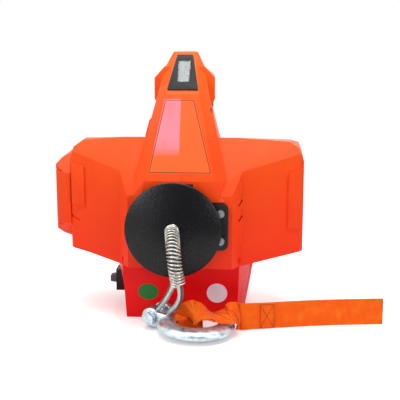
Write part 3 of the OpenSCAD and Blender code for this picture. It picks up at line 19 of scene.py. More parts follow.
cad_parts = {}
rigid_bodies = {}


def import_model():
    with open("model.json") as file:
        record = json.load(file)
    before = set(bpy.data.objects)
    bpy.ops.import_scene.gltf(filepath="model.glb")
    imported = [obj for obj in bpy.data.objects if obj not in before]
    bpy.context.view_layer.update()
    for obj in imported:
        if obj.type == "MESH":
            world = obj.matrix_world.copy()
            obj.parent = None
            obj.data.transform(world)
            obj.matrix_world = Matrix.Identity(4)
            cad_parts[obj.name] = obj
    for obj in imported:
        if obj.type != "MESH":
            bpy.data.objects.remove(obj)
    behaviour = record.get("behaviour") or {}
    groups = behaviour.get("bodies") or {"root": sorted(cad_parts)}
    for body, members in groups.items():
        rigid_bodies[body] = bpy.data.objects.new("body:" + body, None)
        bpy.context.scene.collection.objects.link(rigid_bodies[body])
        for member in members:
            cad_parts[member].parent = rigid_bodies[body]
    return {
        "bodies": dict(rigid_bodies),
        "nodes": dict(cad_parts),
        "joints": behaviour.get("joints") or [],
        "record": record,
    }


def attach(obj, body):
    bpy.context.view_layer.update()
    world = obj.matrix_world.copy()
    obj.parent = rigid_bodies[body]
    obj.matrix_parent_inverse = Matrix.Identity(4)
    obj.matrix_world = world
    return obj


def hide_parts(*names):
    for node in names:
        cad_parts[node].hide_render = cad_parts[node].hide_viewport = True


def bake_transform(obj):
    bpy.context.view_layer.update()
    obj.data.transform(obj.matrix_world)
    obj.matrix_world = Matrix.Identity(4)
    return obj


LOG = logging.getLogger("winch")
MM = 0.001
# Texture nodes that need a place
PATTERNS = ("TexNoise", "TexVoronoi", "TexWave")
# A wave pattern at scale 1 repeats every pi / 10
WAVE_REPEAT = math.pi / 10
ROOT_BODY = "winch"
HOOK_BODY = "front_hook_body"
WHITE = (1.0, 1.0, 1.0, 1.0)
# A Mix node set for colours, with the place of its result
COLOURS = {"out": 2, "data_type": "RGBA"}
# Bends, in degrees, above which a form's edges are rounded, and above which they shade sharp
ROUND_ABOVE = 40.0
SHARP_ABOVE = 35.0
X_AXIS = (1.0, 0.0, 0.0)
Z_AXIS = (0.0, 0.0, 1.0)


def linear(hex_code: str, share: float = 1.0) -> tuple[float, float, float, float]:
    """Turns an sRGB hex code into linear light.

    Args:
        hex_code: Six hex digits, red first.
        share: How much of the light to keep.

    Returns:
        Linear red, green, blue and a full alpha.
    """
    parts = [int(hex_code[i : i + 2], 16) / 255 for i in (0, 2, 4)]
    light = [p / 12.92 if p <= 0.04045 else ((p + 0.055) / 1.055) ** 2.4 for p in parts]
    return (*(p * share for p in light), 1.0)


def per(size_mm: float) -> float:
    """Returns the texture scale that makes a pattern's lumps about size_mm wide."""
    return 1 / (size_mm * MM)


def add_node(
    tree: bpy.types.NodeTree, kind: str, inputs: dict | tuple = (), out: int | str = 0, **settings
) -> bpy.types.NodeSocket | None:
    """Adds one node, sets its properties and fills or links its inputs.

    Args:
        tree: The node tree to add to.
        kind: The node's type name, without the ShaderNode prefix.
        inputs: Constants or output sockets, in the inputs' order or by their names or places.
        out: Name or place of the output that is wanted.
        **settings: Node properties.

    Returns:
        That output, or None from a node without outputs.
    """
    node = tree.nodes.new("ShaderNode" + kind)
    for key, value in settings.items():
        setattr(node, key, value)
    for key, value in inputs.items() if isinstance(inputs, dict) else enumerate(inputs):
        if isinstance(value, bpy.types.NodeSocket):
            tree.links.new(value, node.inputs[key])
        else:
            node.inputs[key].default_value = value
    return node.outputs[out] if node.outputs else None


class Recipe:
    """A material under way, with the places that its patterns follow."""

    def __init__(self, name: str) -> None:
        """Starts an empty node material.

        Args:
            name: The material's name.
        """
        self.material = bpy.data.materials.new(name)
        self.material.use_nodes = True
        self.tree = self.material.node_tree
        self.tree.nodes.clear()
        self.place = self.add("TexCoord", out="Object")
        self.flat = self.add("UVMap", out="UV")

    def add(
        self, kind: str, inputs: dict | tuple = (), out: int | str = 0, **settings
    ) -> bpy.types.NodeSocket | None:
        """Adds one node to this material, with patterns in the part's own place.

        Args:
            kind: The node's type name, without the ShaderNode prefix.
            inputs: Constants or output sockets, as for add_node.
            out: Name or place of the output that is wanted.
            **settings: Node properties.

        Returns:
            That output.
        """
        if kind in PATTERNS:
            inputs = {"Vector": self.place, **inputs}
        return add_node(self.tree, kind, inputs, out, **settings)

    def close(self, **inputs) -> bpy.types.Material:
        """Ends the tree with a surface shader.

        Args:
            **inputs: Surface inputs, with spaces in their names as underscores.

        Returns:
            The finished material.
        """
        surface = self.add("BsdfPrincipled", {key.replace("_", " "): value for key, value in inputs.items()})
        self.add("OutputMaterial", {"Surface": surface})
        return self.material


@dataclass(frozen=True)
class Finish:
    """An even surface: its colour, polish, metal share, grain and faint smudges."""

    name: str
    colour: str
    roughness: float = 0.5
    metallic: float = 0.0
    ior: float = 1.5
    grain_mm: float = 0.4
    grain_depth: float = 0.004
    smudge_mm: float = 14.0
    smudge: float = 0.12

    def build(self) -> bpy.types.Material:
        """Builds the material.

        Returns:
            The material.
        """
        r = Recipe(self.name)
        cloud = r.add("TexNoise", {"Scale": per(self.smudge_mm), "Detail": 3.0})
        patch = r.add("MapRange", (cloud, 0.35, 0.65))
        colours = {0: patch, 6: linear(self.colour), 7: linear(self.colour, 1 - self.smudge)}
        rough = (patch, 0.0, 1.0, self.roughness, min(1.0, self.roughness + self.smudge))
        grain = r.add("TexNoise", {"Scale": per(self.grain_mm)})
        return r.close(
            Base_Color=r.add("Mix", colours, **COLOURS),
            Roughness=r.add("MapRange", rough),
            Metallic=self.metallic,
            IOR=self.ior,
            Normal=r.add("Bump", {"Height": grain, "Distance": self.grain_depth * MM}),
        )


@dataclass(frozen=True)
class MouldedShell(Finish):
    """Injection moulded casing plastic: painted light makes it lighter higher up, finely pebbled."""

    # the lighter upper colour: painted light standing in for the light from above
    painted_light_top: str = "FF5A1E"
    # heights, in metres, between which the lighter upper colour of the painted light comes in
    low_z: float = 0.05
    high_z: float = 0.25
    # the pebble is drawn about twice as coarse as a spark texture, so that it shows
    pebble_mm: float = 0.7
    cloud_mm: float = 30.0
    gloss_mm: float = 5.0
    sink_mm: float = 9.0
    sink_depth: float = 0.02
    dull: float = 0.07
    dull_most: float = 0.16
    specular: float = 0.2

    def build(self) -> bpy.types.Material:
        """Builds the plastic.

        Returns:
            The material.
        """
        r = Recipe(self.name)
        # painted light: the colour turns lighter higher up, as if lit from above
        height = r.add("SeparateXYZ", (r.place,), "Z")
        rise = r.add("MapRange", (height, self.low_z, self.high_z))
        base = r.add("Mix", {0: rise, 6: linear(self.colour), 7: linear(self.painted_light_top)}, **COLOURS)
        cloud = r.add("TexNoise", {"Scale": per(self.cloud_mm)})
        share = r.add("MapRange", (cloud, 0.4, 0.7, 0.0, self.dull_most))
        tone = r.add("Mix", {0: share, 6: base, 7: linear(self.colour, 1 - self.dull)}, **COLOURS)
        cells = r.add("TexVoronoi", {"Scale": per(self.pebble_mm)}, feature="SMOOTH_F1")
        dust = r.add("TexNoise", {"Scale": per(self.pebble_mm / 2)})
        pebble = {"Height": r.add("Math", (cells, dust), operation="ADD"), "Strength": 0.7}
        fine = r.add("Bump", {**pebble, "Distance": self.grain_depth * MM})
        sink = r.add("TexNoise", {"Scale": per(self.sink_mm), "Detail": 1.0})
        gloss = r.add("TexNoise", {"Scale": per(self.gloss_mm), "Detail": 3.0})
        uneven = {"Height": sink, "Distance": self.sink_depth * MM, "Strength": 0.35, "Normal": fine}
        return r.close(
            Base_Color=tone,
            Roughness=r.add("MapRange", (gloss, 0.3, 0.7, self.roughness - 0.05, self.roughness + 0.07)),
            IOR=self.ior,
            Specular_IOR_Level=self.specular,
            Normal=r.add("Bump", uneven),
        )


@dataclass(frozen=True)
class CracklePaint(Finish):
    """Black powder coat that dries into a skin of fine wrinkles."""

    wrinkle_mm: float = 1.7
    dust_mm: float = 0.6
    warp_mm: float = 2.381
    warp: float = 0.004
    deep: str = "08090C"
    dull: float = 0.14
    specular: float = 0.3

    def build(self) -> bpy.types.Material:
        """Builds the coat: bent wrinkles with dust on them, duller in the deeps.

        Returns:
            The material.
        """
        r = Recipe(self.name)
        drift = r.add("TexNoise", {"Scale": per(self.warp_mm)}, "Color")
        bent = r.add("Mix", {0: self.warp, 4: r.place, 5: drift}, 1, data_type="VECTOR")
        cells = r.add("TexVoronoi", {"Vector": bent, "Scale": per(self.wrinkle_mm)}, feature="SMOOTH_F1")
        ridge = r.add("MapRange", (cells, 0.0, 0.75, 1.0, 0.0))
        dust = r.add("TexNoise", {"Scale": per(self.dust_mm), "Detail": 3.0})
        faint = r.add("Math", (dust, 0.35), operation="MULTIPLY")
        skin_height = r.add("Math", (ridge, faint), operation="ADD")
        return r.close(
            Base_Color=r.add("Mix", {0: ridge, 6: linear(self.deep), 7: linear(self.colour)}, **COLOURS),
            Roughness=r.add("MapRange", (ridge, 0.0, 1.0, self.roughness + self.dull, self.roughness)),
            IOR=self.ior,
            Specular_IOR_Level=self.specular,
            Normal=r.add("Bump", {"Height": skin_height, "Distance": self.grain_depth * MM, "Strength": 0.9}),
        )


@dataclass(frozen=True)
class ZincForging(Finish):
    """Bright zinc over a forged or cast skin: pale spangles, pits and a soft mirror."""

    pale: str = "B9C6CC"
    spangle_mm: float = 5.0
    pit_mm: float = 0.9
    swell_mm: float = 6.0
    swell_depth: float = 0.22

    def build(self) -> bpy.types.Material:
        """Builds the plated skin.

        Returns:
            The material.
        """
        r = Recipe(self.name)
        fine = {"Detail": 4.0}
        spangle = r.add("TexNoise", {**fine, "Scale": per(self.spangle_mm), "Roughness": 0.6})
        shade = r.add("MapRange", (spangle, 0.35, 0.65))
        dots = r.add("TexNoise", {**fine, "Scale": per(self.pit_mm), "Roughness": 0.65})
        pits = r.add("MapRange", (dots, 0.3, 0.6))
        swell = r.add("TexNoise", {"Scale": per(self.swell_mm)})
        waves = r.add("Bump", {"Height": swell, "Distance": self.swell_depth * MM, "Strength": 0.55})
        pitted = {"Height": pits, "Distance": self.grain_depth * MM, "Strength": 0.7, "Normal": waves}
        return r.close(
            Base_Color=r.add("Mix", {0: shade, 6: linear(self.colour), 7: linear(self.pale)}, **COLOURS),
            Metallic=self.metallic,
            Roughness=r.add("MapRange", (spangle, 0.3, 0.7, self.roughness + 0.12, self.roughness - 0.04)),
            Normal=r.add("Bump", pitted),
        )


@dataclass(frozen=True)
class TurnedSteel(Finish):
    """Machined steel: fine tool marks along one axis, with patches of oil."""

    direction: str = "X"
    pitch_mm: float = 0.25
    patch_mm: float = 7.0
    dust_mm: float = 0.3
    oil: str = "5B5A57"

    def build(self) -> bpy.types.Material:
        """Builds the steel.

        Returns:
            The material.
        """
        r = Recipe(self.name)
        marks = {"Scale": WAVE_REPEAT * per(self.pitch_mm), "Distortion": 0.6, "Detail": 1.0}
        lines = r.add("TexWave", marks, "Fac", bands_direction=self.direction)
        patch = r.add("TexNoise", {"Scale": per(self.patch_mm), "Detail": 3.0})
        oily = r.add("MapRange", (patch, 0.4, 0.7, 0.0, 0.5))
        dust = r.add("TexNoise", {"Scale": per(self.dust_mm)})
        height = r.add("Math", (lines, dust), operation="ADD")
        return r.close(
            Base_Color=r.add("Mix", {0: oily, 6: linear(self.colour), 7: linear(self.oil)}, **COLOURS),
            Metallic=self.metallic,
            Roughness=r.add("MapRange", (patch, 0.3, 0.7, self.roughness, self.roughness + 0.15)),
            Normal=r.add("Bump", {"Height": height, "Distance": self.grain_depth * MM, "Strength": 0.6}),
        )


@dataclass(frozen=True)
class Webbing(Finish):
    """Woven polyester webbing: ribs across its width and yarns along it."""

    # the yarns are drawn about twice as coarse as they are, so that they show
    rib_mm: float = 1.1
    yarn_mm: float = 0.55
    fuzz_mm: float = 0.25
    wear_mm: float = 11.0
    groove: str = "D64402"
    worn: str = "FF8A22"
    specular: float = 0.15
    sheen: float = 0.08

    def build(self) -> bpy.types.Material:
        """Builds the weave from the strap's own distances along and across.

        Returns:
            The material.
        """
        r = Recipe(self.name)
        rib = {"Vector": r.flat, "Scale": WAVE_REPEAT * per(self.rib_mm), "Detail": 1.0}
        ribs = r.add("TexWave", rib, "Fac", bands_direction="X")
        yarn = {"Vector": r.flat, "Scale": WAVE_REPEAT * per(self.yarn_mm), "Distortion": 0.4, "Detail": 1.0}
        yarns = r.add("TexWave", yarn, "Fac", bands_direction="Y")
        parts = [r.add("Math", pair, operation="MULTIPLY") for pair in ((ribs, 0.7), (yarns, 0.3))]
        weave = r.add("Math", tuple(parts), operation="ADD")
        fuzz = r.add("TexNoise", {"Scale": per(self.fuzz_mm)})
        faint = r.add("Math", (fuzz, 0.25), operation="MULTIPLY")
        high = r.add("MapRange", (weave, 0.1, 0.8))
        shade = r.add("Mix", {0: high, 6: linear(self.groove), 7: linear(self.colour)}, **COLOURS)
        cloud = r.add("TexNoise", {"Scale": per(self.wear_mm), "Detail": 3.0})
        rubbed = r.add("MapRange", (cloud, 0.45, 0.75, 0.0, 0.35))
        height = r.add("Math", (weave, faint), operation="ADD")
        return r.close(
            Base_Color=r.add("Mix", {0: rubbed, 6: shade, 7: linear(self.worn)}, **COLOURS),
            Roughness=self.roughness,
            IOR=self.ior,
            Specular_IOR_Level=self.specular,
            Sheen_Weight=self.sheen,
            Sheen_Roughness=0.4,
            Normal=r.add("Bump", {"Height": height, "Distance": self.grain_depth * MM, "Strength": 0.8}),
        )


@dataclass(frozen=True)
class StrandedWire(Finish):
    """Galvanised wire rope: fine wires laid at a slant along each strand."""

    wire_mm: float = 0.35
    slant: float = 18.0
    dirt_mm: float = 2.5
    dirt: str = "3A3938"
    groove: str = "1B1B1C"

    def build(self) -> bpy.types.Material:
        """Builds the wires from the strand's distances along and around.

        Returns:
            The material.
        """
        r = Recipe(self.name)
        turned = r.add("Mapping", {"Vector": r.flat, "Rotation": (0, 0, math.radians(self.slant))})
        wire = {"Vector": turned, "Scale": WAVE_REPEAT * per(self.wire_mm), "Detail": 1.0}
        wires = r.add("TexWave", wire, "Fac", bands_direction="Y")
        cloud = r.add("TexNoise", {"Scale": per(self.dirt_mm), "Detail": 3.0})
        dirty = r.add("MapRange", (cloud, 0.4, 0.7, 0.0, 0.6))
        tone = r.add("Mix", {0: dirty, 6: linear(self.colour), 7: linear(self.dirt)}, **COLOURS)
        deep = r.add("MapRange", (wires, 0.0, 0.5, 0.6, 0.0))
        return r.close(
            Base_Color=r.add("Mix", {0: deep, 6: tone, 7: linear(self.groove)}, **COLOURS),
            Metallic=self.metallic,
            Roughness=self.roughness,
            Normal=r.add("Bump", {"Height": wires, "Distance": self.grain_depth * MM, "Strength": 0.9}),
        )


@dataclass(frozen=True)
class GripRubber(Finish):
    """Soft rubber with two crossed sets of grooves, so raised diamonds."""

    pitch_mm: float = 2.2
    skin_depth: float = 0.01

    def build(self) -> bpy.types.Material:
        """Builds the rubber.

        Returns:
            The material.
        """
        r = Recipe(self.name)
        sets = []
        for angle in (math.radians(45), math.radians(-45)):
            turned = r.add("Mapping", {"Vector": r.place, "Rotation": (angle, angle, 0)})
            groove = {"Vector": turned, "Scale": WAVE_REPEAT * per(self.pitch_mm), "Detail": 1.0}
            sets.append(r.add("TexWave", groove, "Fac", bands_direction="Y"))
        grooves = r.add("Math", tuple(sets), operation="MINIMUM")
        height = r.add("MapRange", (grooves, 0.0, 0.35))
        grain = r.add("TexNoise", {"Scale": per(self.grain_mm)})
        skin_bump = r.add("Bump", {"Height": grain, "Distance": self.skin_depth * MM})
        cut = {"Height": height, "Distance": self.grain_depth * MM, "Strength": 0.8, "Normal": skin_bump}
        return r.close(
            Base_Color=linear(self.colour),
            Roughness=self.roughness,
            IOR=self.ior,
            Normal=r.add("Bump", cut),
        )


@dataclass(frozen=True)
class Lacquer(Finish):
    """Copper windings under varnish, with their wires side by side."""

    wire_mm: float = 0.8
    shade: str = "4A1D0C"

    def build(self) -> bpy.types.Material:
        """Builds the windings.

        Returns:
            The material.
        """
        r = Recipe(self.name)
        wire = {"Scale": WAVE_REPEAT * per(self.wire_mm), "Distortion": 1.2, "Detail": 1.0}
        wires = r.add("TexWave", wire, "Fac", bands_direction="X")
        return r.close(
            Base_Color=r.add("Mix", {0: wires, 6: linear(self.shade), 7: linear(self.colour)}, **COLOURS),
            Metallic=self.metallic,
            Roughness=self.roughness,
            Coat_Weight=0.5,
            Normal=r.add("Bump", {"Height": wires, "Distance": self.grain_depth * MM}),
        )


@dataclass(frozen=True)
class ClearWindow(Finish):
    """Clear acrylic, nearly all see-through, with light scuffs."""

    scuff_mm: float = 1.2
    clear: float = 0.92

    def build(self) -> bpy.types.Material:
        """Builds the window.

        Returns:
            The material.
        """
        r = Recipe(self.name)
        cloud = r.add("TexNoise", {"Scale": per(self.scuff_mm), "Detail": 4.0})
        scuff = r.add("MapRange", (cloud, 0.5, 0.8, 0.0, 0.15))
        return r.close(
            Base_Color=linear(self.colour),
            Roughness=r.add("Math", (scuff, self.roughness), operation="ADD"),
            IOR=self.ior,
            Transmission_Weight=self.clear,
        )


@dataclass(frozen=True)
class DisplayGlass(Finish):
    """A blank liquid crystal display: soft grey with a faint grid."""

    cell_mm: float = 0.7
    line: str = "6E7C7B"

    def build(self) -> bpy.types.Material:
        """Builds the display.

        Returns:
            The material.
        """
        r = Recipe(self.name)
        cell = {"Scale": WAVE_REPEAT * per(self.cell_mm), "Detail": 1.0}
        waves = tuple(r.add("TexWave", cell, "Fac", bands_direction=axis) for axis in "XZ")
        grid = r.add("Math", waves, operation="MINIMUM")
        share = r.add("MapRange", (grid, 0.0, 0.15, 0.25, 0.0))
        tone = r.add("Mix", {0: share, 6: linear(self.colour), 7: linear(self.line)}, **COLOURS)
        return r.close(Base_Color=tone, Roughness=self.roughness, IOR=self.ior, Coat_Weight=0.4)


@dataclass(frozen=True)
class PrintedFilm(Finish):
    """A thin film with no print: milky on its left, clear on its right."""

    milky: str = "F08A98"
    # where the milky side ends, and over what width and heights it fades, in metres
    split_x: float = -0.001
    soft: float = 0.0004
    fade_z: tuple = (0.158, 0.166)
    ripple_mm: float = 16.0
    ripple_depth: float = 0.05

    def build(self) -> bpy.types.Material:
        """Builds the film.

        Returns:
            The material.
        """
        r = Recipe(self.name)
        x = r.add("SeparateXYZ", (r.place,), "X")
        z = r.add("SeparateXYZ", (r.place,), "Z")
        left = r.add("MapRange", (x, self.split_x - self.soft, self.split_x + self.soft, 1.0, 0.0))
        upper = r.add("MapRange", (z, *self.fade_z))
        side = r.add("Math", (left, upper), operation="MULTIPLY")
        ripple = r.add("TexNoise", {"Scale": per(self.ripple_mm)})
        cloudy = r.add("MapRange", (ripple, 0.3, 0.7, 0.75, 1.1))
        share = r.add("Math", (side, cloudy), operation="MULTIPLY")
        return r.close(
            Base_Color=r.add("Mix", {0: share, 6: linear(self.colour), 7: linear(self.milky)}, **COLOURS),
            Roughness=self.roughness,
            IOR=self.ior,
            Coat_Weight=0.6,
            Coat_Roughness=0.08,
            Normal=r.add("Bump", {"Height": ripple, "Distance": self.ripple_depth * MM, "Strength": 0.3}),
        )


class Look(Enum):
    """Every finish of the winch, named for the real material."""

    # Moulded ABS with a spark texture: bright orange with a broad, soft sheen, and painted light that makes
    # it lighter higher up
    CASING = MouldedShell("orange_abs", "F6300A", 0.42, grain_depth=0.012, painted_light_top="FF681F")
    # The same plastic painted darker and redder as painted shade, with painted light making it lighter higher
    # up, so the base reads as its own moulding
    BASE = MouldedShell("red_abs_painted_shade", "F2060C", 0.42, grain_depth=0.012, painted_light_top="F81410")
    # Moulded nylon: satin black that shows only its edges
    BLACK = Finish("black_nylon", "0B0B0C", 0.45, grain_mm=0.5, grain_depth=0.01)
    # The same nylon coloured through, a flat mid grey
    GREY = Finish("grey_nylon", "55575B", 0.5, grain_mm=0.5, grain_depth=0.01)
    # Polished acrylic: black with narrow, sharp highlights
    GLOSS_BLACK = Finish("black_acrylic", "060608", 0.24, ior=1.3, grain_depth=0.001)
    # Cast acrylic pane: seen through, with one clean reflection
    WINDOW = ClearWindow("clear_acrylic", "E8EEEE", 0.04, ior=1.49)
    # Glass of an unlit display: pale grey green under a light coat
    DISPLAY = DisplayGlass("blank_display", "76827E", 0.22, ior=1.52)
    # Blackened alloy steel: a dark metal glint in each screw
    DARK_SCREW = Finish("blackened_steel", "1E1F22", 0.35, 0.9, grain_depth=0.003)
    # Zinc plated sheet: even, slightly blue grey metal
    ZINC = Finish("zinc_sheet", "AEB3B8", 0.32, 0.95, grain_mm=1.5, grain_depth=0.004)
    # Turned steel: rings of fine tool marks that streak the light
    TURNED = TurnedSteel("turned_steel", "9DA0A4", 0.28, 0.95, grain_depth=0.006)
    # Hobbed gear steel under grease: darker, marked along its teeth
    HOBBED = TurnedSteel("greased_gear_steel", "7C7D80", 0.34, 0.95, grain_depth=0.006, direction="Z")
    # Sintered bronze: warm, dull and finely porous
    BRONZE = Finish("sintered_bronze", "A87B3C", 0.42, 0.9, grain_mm=0.3, grain_depth=0.01)
    # Wrinkled powder coat: a black skin that glitters in its ridges
    CRACKLE = CracklePaint("black_crackle_coat", "121216", 0.22, grain_depth=0.14)
    # Galvanised wire rope: grey metal with patches of dirt, darker in the grooves between its wires
    ROPE = StrandedWire("galvanised_wire_rope", "8C8D90", 0.38, 0.9, grain_depth=0.12)
    # Die cast aluminium: pale, flat metal with a cast skin
    CAST = Finish("die_cast_aluminium", "A9ABAE", 0.5, 0.9, grain_mm=0.8, grain_depth=0.03)
    # Passivated steel tube: a smooth mid grey can
    PASSIVATED = Finish("passivated_steel", "6D6E70", 0.35, 0.9, grain_depth=0.004)
    # Sintered ferrite: matt charcoal, like a fired ceramic
    FERRITE = Finish("sintered_ferrite", "2A2A2D", 0.6, grain_mm=0.3, grain_depth=0.01)
    # Wound copper wire under varnish: red brown, ridged and wet looking
    COPPER = Lacquer("varnished_copper", "B4592A", 0.3, 0.85, grain_depth=0.2)
    # Pressed friction lining: dry brown with coarse fibres
    LINING = Finish("friction_lining", "4A392C", 0.8, grain_mm=0.6, grain_depth=0.04)
    # Moulded soft rubber: matt black diamonds
    RUBBER = GripRubber("diamond_rubber", "0E0E0F", 0.62, grain_depth=0.35)
    # Shrunk vinyl film: smooth blue with a plastic shine
    CELL = Finish("cell_film", "1F5AA8", 0.3, grain_depth=0.002)
    # Printed solder resist: deep green over the board's weave
    BOARD = Finish("solder_resist", "0A4A22", 0.35, grain_mm=0.8, grain_depth=0.01)
    # Zinc plated forging: white metal with spangles and a wavy mirror
    FORGING = ZincForging("zinc_forging", "E2F0F8", 0.3, 0.92, grain_depth=0.06)
    # Zinc plated pressing: a warmer, finer spangle
    PALE_ZINC = ZincForging("zinc_thimble", "DAD7CB", 0.34, 0.9, grain_depth=0.03, spangle_mm=3.0)
    # Nickel plated spring wire: bright, warm lines drawn along it
    SPRING = TurnedSteel("nickel_spring_wire", "D9D7CE", 0.2, 0.97, grain_depth=0.003, pitch_mm=0.5)
    # Woven polyester webbing: saturated orange, matt, ribbed across
    WEBBING = Webbing("polyester_webbing", "FF6A08", 0.7, grain_depth=0.18)
    # Spun polyester thread: thin dark red dashes
    THREAD = Finish("sewing_thread", "A02C04", 0.75, grain_mm=0.3, grain_depth=0.05)
    # Cast vinyl film: a glossy coat over the neck, half of it milky
    FILM = PrintedFilm("printed_film", "FF6422", 0.3)
    # Solvent ink: a thin dark line round the film
    FILM_EDGE = Finish("film_border", "4A1810", 0.4, grain_depth=0.001)
    # Coated paper in green: flat colour with a slight shine
    GREEN_DOT = Finish("green_sticker", "0A7422", 0.4, grain_mm=1, grain_depth=0.004)
    # Coated paper in pale pink, the same
    PALE_DOT = Finish("pale_sticker", "FBE6F2", 0.42, grain_mm=1, grain_depth=0.004)

    def material(self) -> bpy.types.Material:
        """Returns the finish's material, built once."""
        return bpy.data.materials.get(self.value.name) or self.value.build()


@dataclass
class Frame:
    """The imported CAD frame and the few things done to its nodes."""

    parts: dict
    # merge distance in metres, and the bend in degrees under which faces count as flat
    merge: float = 2e-6
    flat_angle: float = 0.6
    edge_steps: int = 3

    def dress(self, look: Look, *names: str) -> None:
        """Gives CAD nodes a finish.

        Args:
            look: The finish.
            *names: The nodes that take it.
        """
        for name in names:
            part = self.parts["nodes"][name]
            part.data.materials.clear()
            part.data.materials.append(look.material())
            LOG.info("dressed %s in %s", name, look.value.name)

    def soften(self, edge_mm: float, angle: float, *names: str) -> None:
        """Rounds the edges of CAD nodes with modifiers only.

        Args:
            edge_mm: The edge radius.
            angle: Edges sharper than this, in degrees, are rounded.
            *names: The nodes.
        """
        for name in names:
            part = self.parts["nodes"][name]
            weld = part.modifiers.new("Merge", "WELD")
            weld.merge_threshold = self.merge
            flat = part.modifiers.new("Flats", "DECIMATE")
            flat.decimate_type = "DISSOLVE"
            flat.angle_limit = math.radians(self.flat_angle)
            bevel = part.modifiers.new("Edges", "BEVEL")
            bevel.width = edge_mm * MM
            bevel.segments = self.edge_steps
            bevel.limit_method = "ANGLE"
            bevel.angle_limit = math.radians(angle)
            bevel.harden_normals = True
            bevel.use_clamp_overlap = True
            part.data.shade_smooth()


def make_object(
    name: str,
    points: list | np.ndarray,
    faces: list,
    look: Look,
    smooth: bool = True,
    uvs: list | None = None,
) -> bpy.types.Object:
    """Makes a mesh object from points in metres.

    Args:
        name: The piece's name.
        points: Vertex positions.
        faces: Vertex indices of each face.
        look: Its finish.
        smooth: Whether its faces shade smoothly.
        uvs: Optional (u, v) of each face corner, in metres.

    Returns:
        The object, linked to the scene.
    """
    mesh = bpy.data.meshes.new(name)
    mesh.from_pydata([tuple(p) for p in points], [], faces)
    if uvs is not None:
        layer = mesh.uv_layers.new(name="UVMap")
        layer.data.foreach_set("uv", np.array(uvs, dtype=np.float32).ravel())
    mesh.validate()
    if smooth:
        mesh.shade_smooth()
    mesh.materials.append(look.material())
    part = bpy.data.objects.new(name, mesh)
    bpy.context.scene.collection.objects.link(part)
    return part


def smooth_path(points: tuple | np.ndarray, steps: int) -> np.ndarray:
    """Runs a Catmull-Rom curve through points.

    Args:
        points: Rows of equal length, positions or positions with directions.
        steps: Samples per span.

    Returns:
        The sampled rows.
    """
    p = np.array(points, float)
    p = np.vstack([2 * p[0] - p[1], p, 2 * p[-1] - p[-2]])
    rows = []
    for i in range(1, len(p) - 2):
        for t in np.arange(steps) / steps:
            a, b, c, d = p[i - 1 : i + 3]
            bend = (2 * a - 5 * b + 4 * c - d) * t**2 + (3 * b - a - 3 * c + d) * t**3
            rows.append(0.5 * (2 * b + (c - a) * t + bend))
    rows.append(p[-2])
    return np.array(rows)


def unit(rows: np.ndarray) -> np.ndarray:
    """Returns the rows scaled to length one."""
    return rows / np.linalg.norm(rows, axis=-1, keepdims=True)


def distances(path: np.ndarray) -> np.ndarray:
    """Returns how far along a path each of its points lies."""
    return np.concatenate([[0], np.cumsum(np.linalg.norm(np.diff(path, axis=0), axis=1))])


def turning_frame(path: np.ndarray, start: tuple = X_AXIS) -> tuple[np.ndarray, np.ndarray]:
    """Carries a frame along a path without twist.

    Args:
        path: Points along the path.
        start: A direction that is not along its start.

    Returns:
        Two directions across the path at each point.
    """
    tangents = unit(np.gradient(path, axis=0))
    across = np.zeros_like(path)
    side = np.array(start, float)
    for i, t in enumerate(tangents):
        side = side - t * (side @ t)
        side /= np.linalg.norm(side)
        across[i] = side
    return across, np.cross(tangents, across)


def ring_faces(rings: int, sides: int) -> list:
    """Lists the faces of a closed tube, its two ends last.

    Args:
        rings: How many rings of points it has.
        sides: Points in each ring.

    Returns:
        Point indices of each face.
    """
    faces = [
        [j * sides + i, j * sides + (i + 1) % sides, (j + 1) * sides + (i + 1) % sides, (j + 1) * sides + i]
        for j in range(rings - 1)
        for i in range(sides)
    ]
    return faces + [list(range(sides))[::-1], [(rings - 1) * sides + i for i in range(sides)]]


def tube(
    name: str, path_mm: np.ndarray, radius_mm: float, sides: int, look: Look, start: tuple = X_AXIS
) -> bpy.types.Object:
    """Makes a round tube along a path, with distances as its texture map.

    Args:
        name: The piece's name.
        path_mm: Points in millimetres.
        radius_mm: Its radius.
        sides: Faces around it.
        look: Its finish.
        start: A direction across its start.

    Returns:
        The tube object.
    """
    a, b = turning_frame(path_mm, start)
    turn = np.linspace(0, 2 * math.pi, sides, endpoint=False)
    rings = path_mm[:, None] + radius_mm * (
        np.cos(turn)[None, :, None] * a[:, None] + np.sin(turn)[None, :, None] * b[:, None]
    )
    faces = ring_faces(len(path_mm), sides)
    run = distances(path_mm)
    uvs = []
    for face in faces:
        for k in face:
            around = k % sides
            if len(face) == 4 and around == 0 and any(q % sides == sides - 1 for q in face):
                around = sides
            uvs.append((run[k // sides] * MM, around * 2 * math.pi * radius_mm / sides * MM))
    return make_object(name, rings.reshape(-1, 3) * MM, faces, look, uvs=uvs)


def spaced(path: np.ndarray, step: float) -> np.ndarray:
    """Puts points at even distances along a path.

    Args:
        path: Points along the path.
        step: About the distance between the new points.

    Returns:
        The new points, both ends kept.
    """
    run = distances(path)
    at = np.linspace(0, run[-1], max(3, int(run[-1] / step) + 1))
    return np.stack([np.interp(at, run, path[:, i]) for i in range(path.shape[1])], axis=1)


def wire_rope(name: str, path_mm: np.ndarray, radius_mm: float, look: Look) -> bpy.types.Object:
    """Makes a rope of six strands laid round a core.

    Args:
        name: The piece's name.
        path_mm: The rope's middle line in millimetres.
        radius_mm: The rope's outer radius.
        look: Its finish.

    Returns:
        The rope object.
    """
    lay_mm, step_mm, strands = 24.0, 0.9, 6
    path = spaced(path_mm, step=step_mm)
    a, b = turning_frame(path)
    run = np.linspace(0, distances(path)[-1], len(path))
    strand = radius_mm / 3
    parts = [tube(name, path, strand, 6, look)]
    for k in range(strands):
        turn = 2 * math.pi * (run / lay_mm + k / strands)
        line = path + (radius_mm - strand) * (np.cos(turn)[:, None] * a + np.sin(turn)[:, None] * b)
        parts.append(tube(f"{name}_{k}", line, strand, 7, look))
    return join(name, parts)


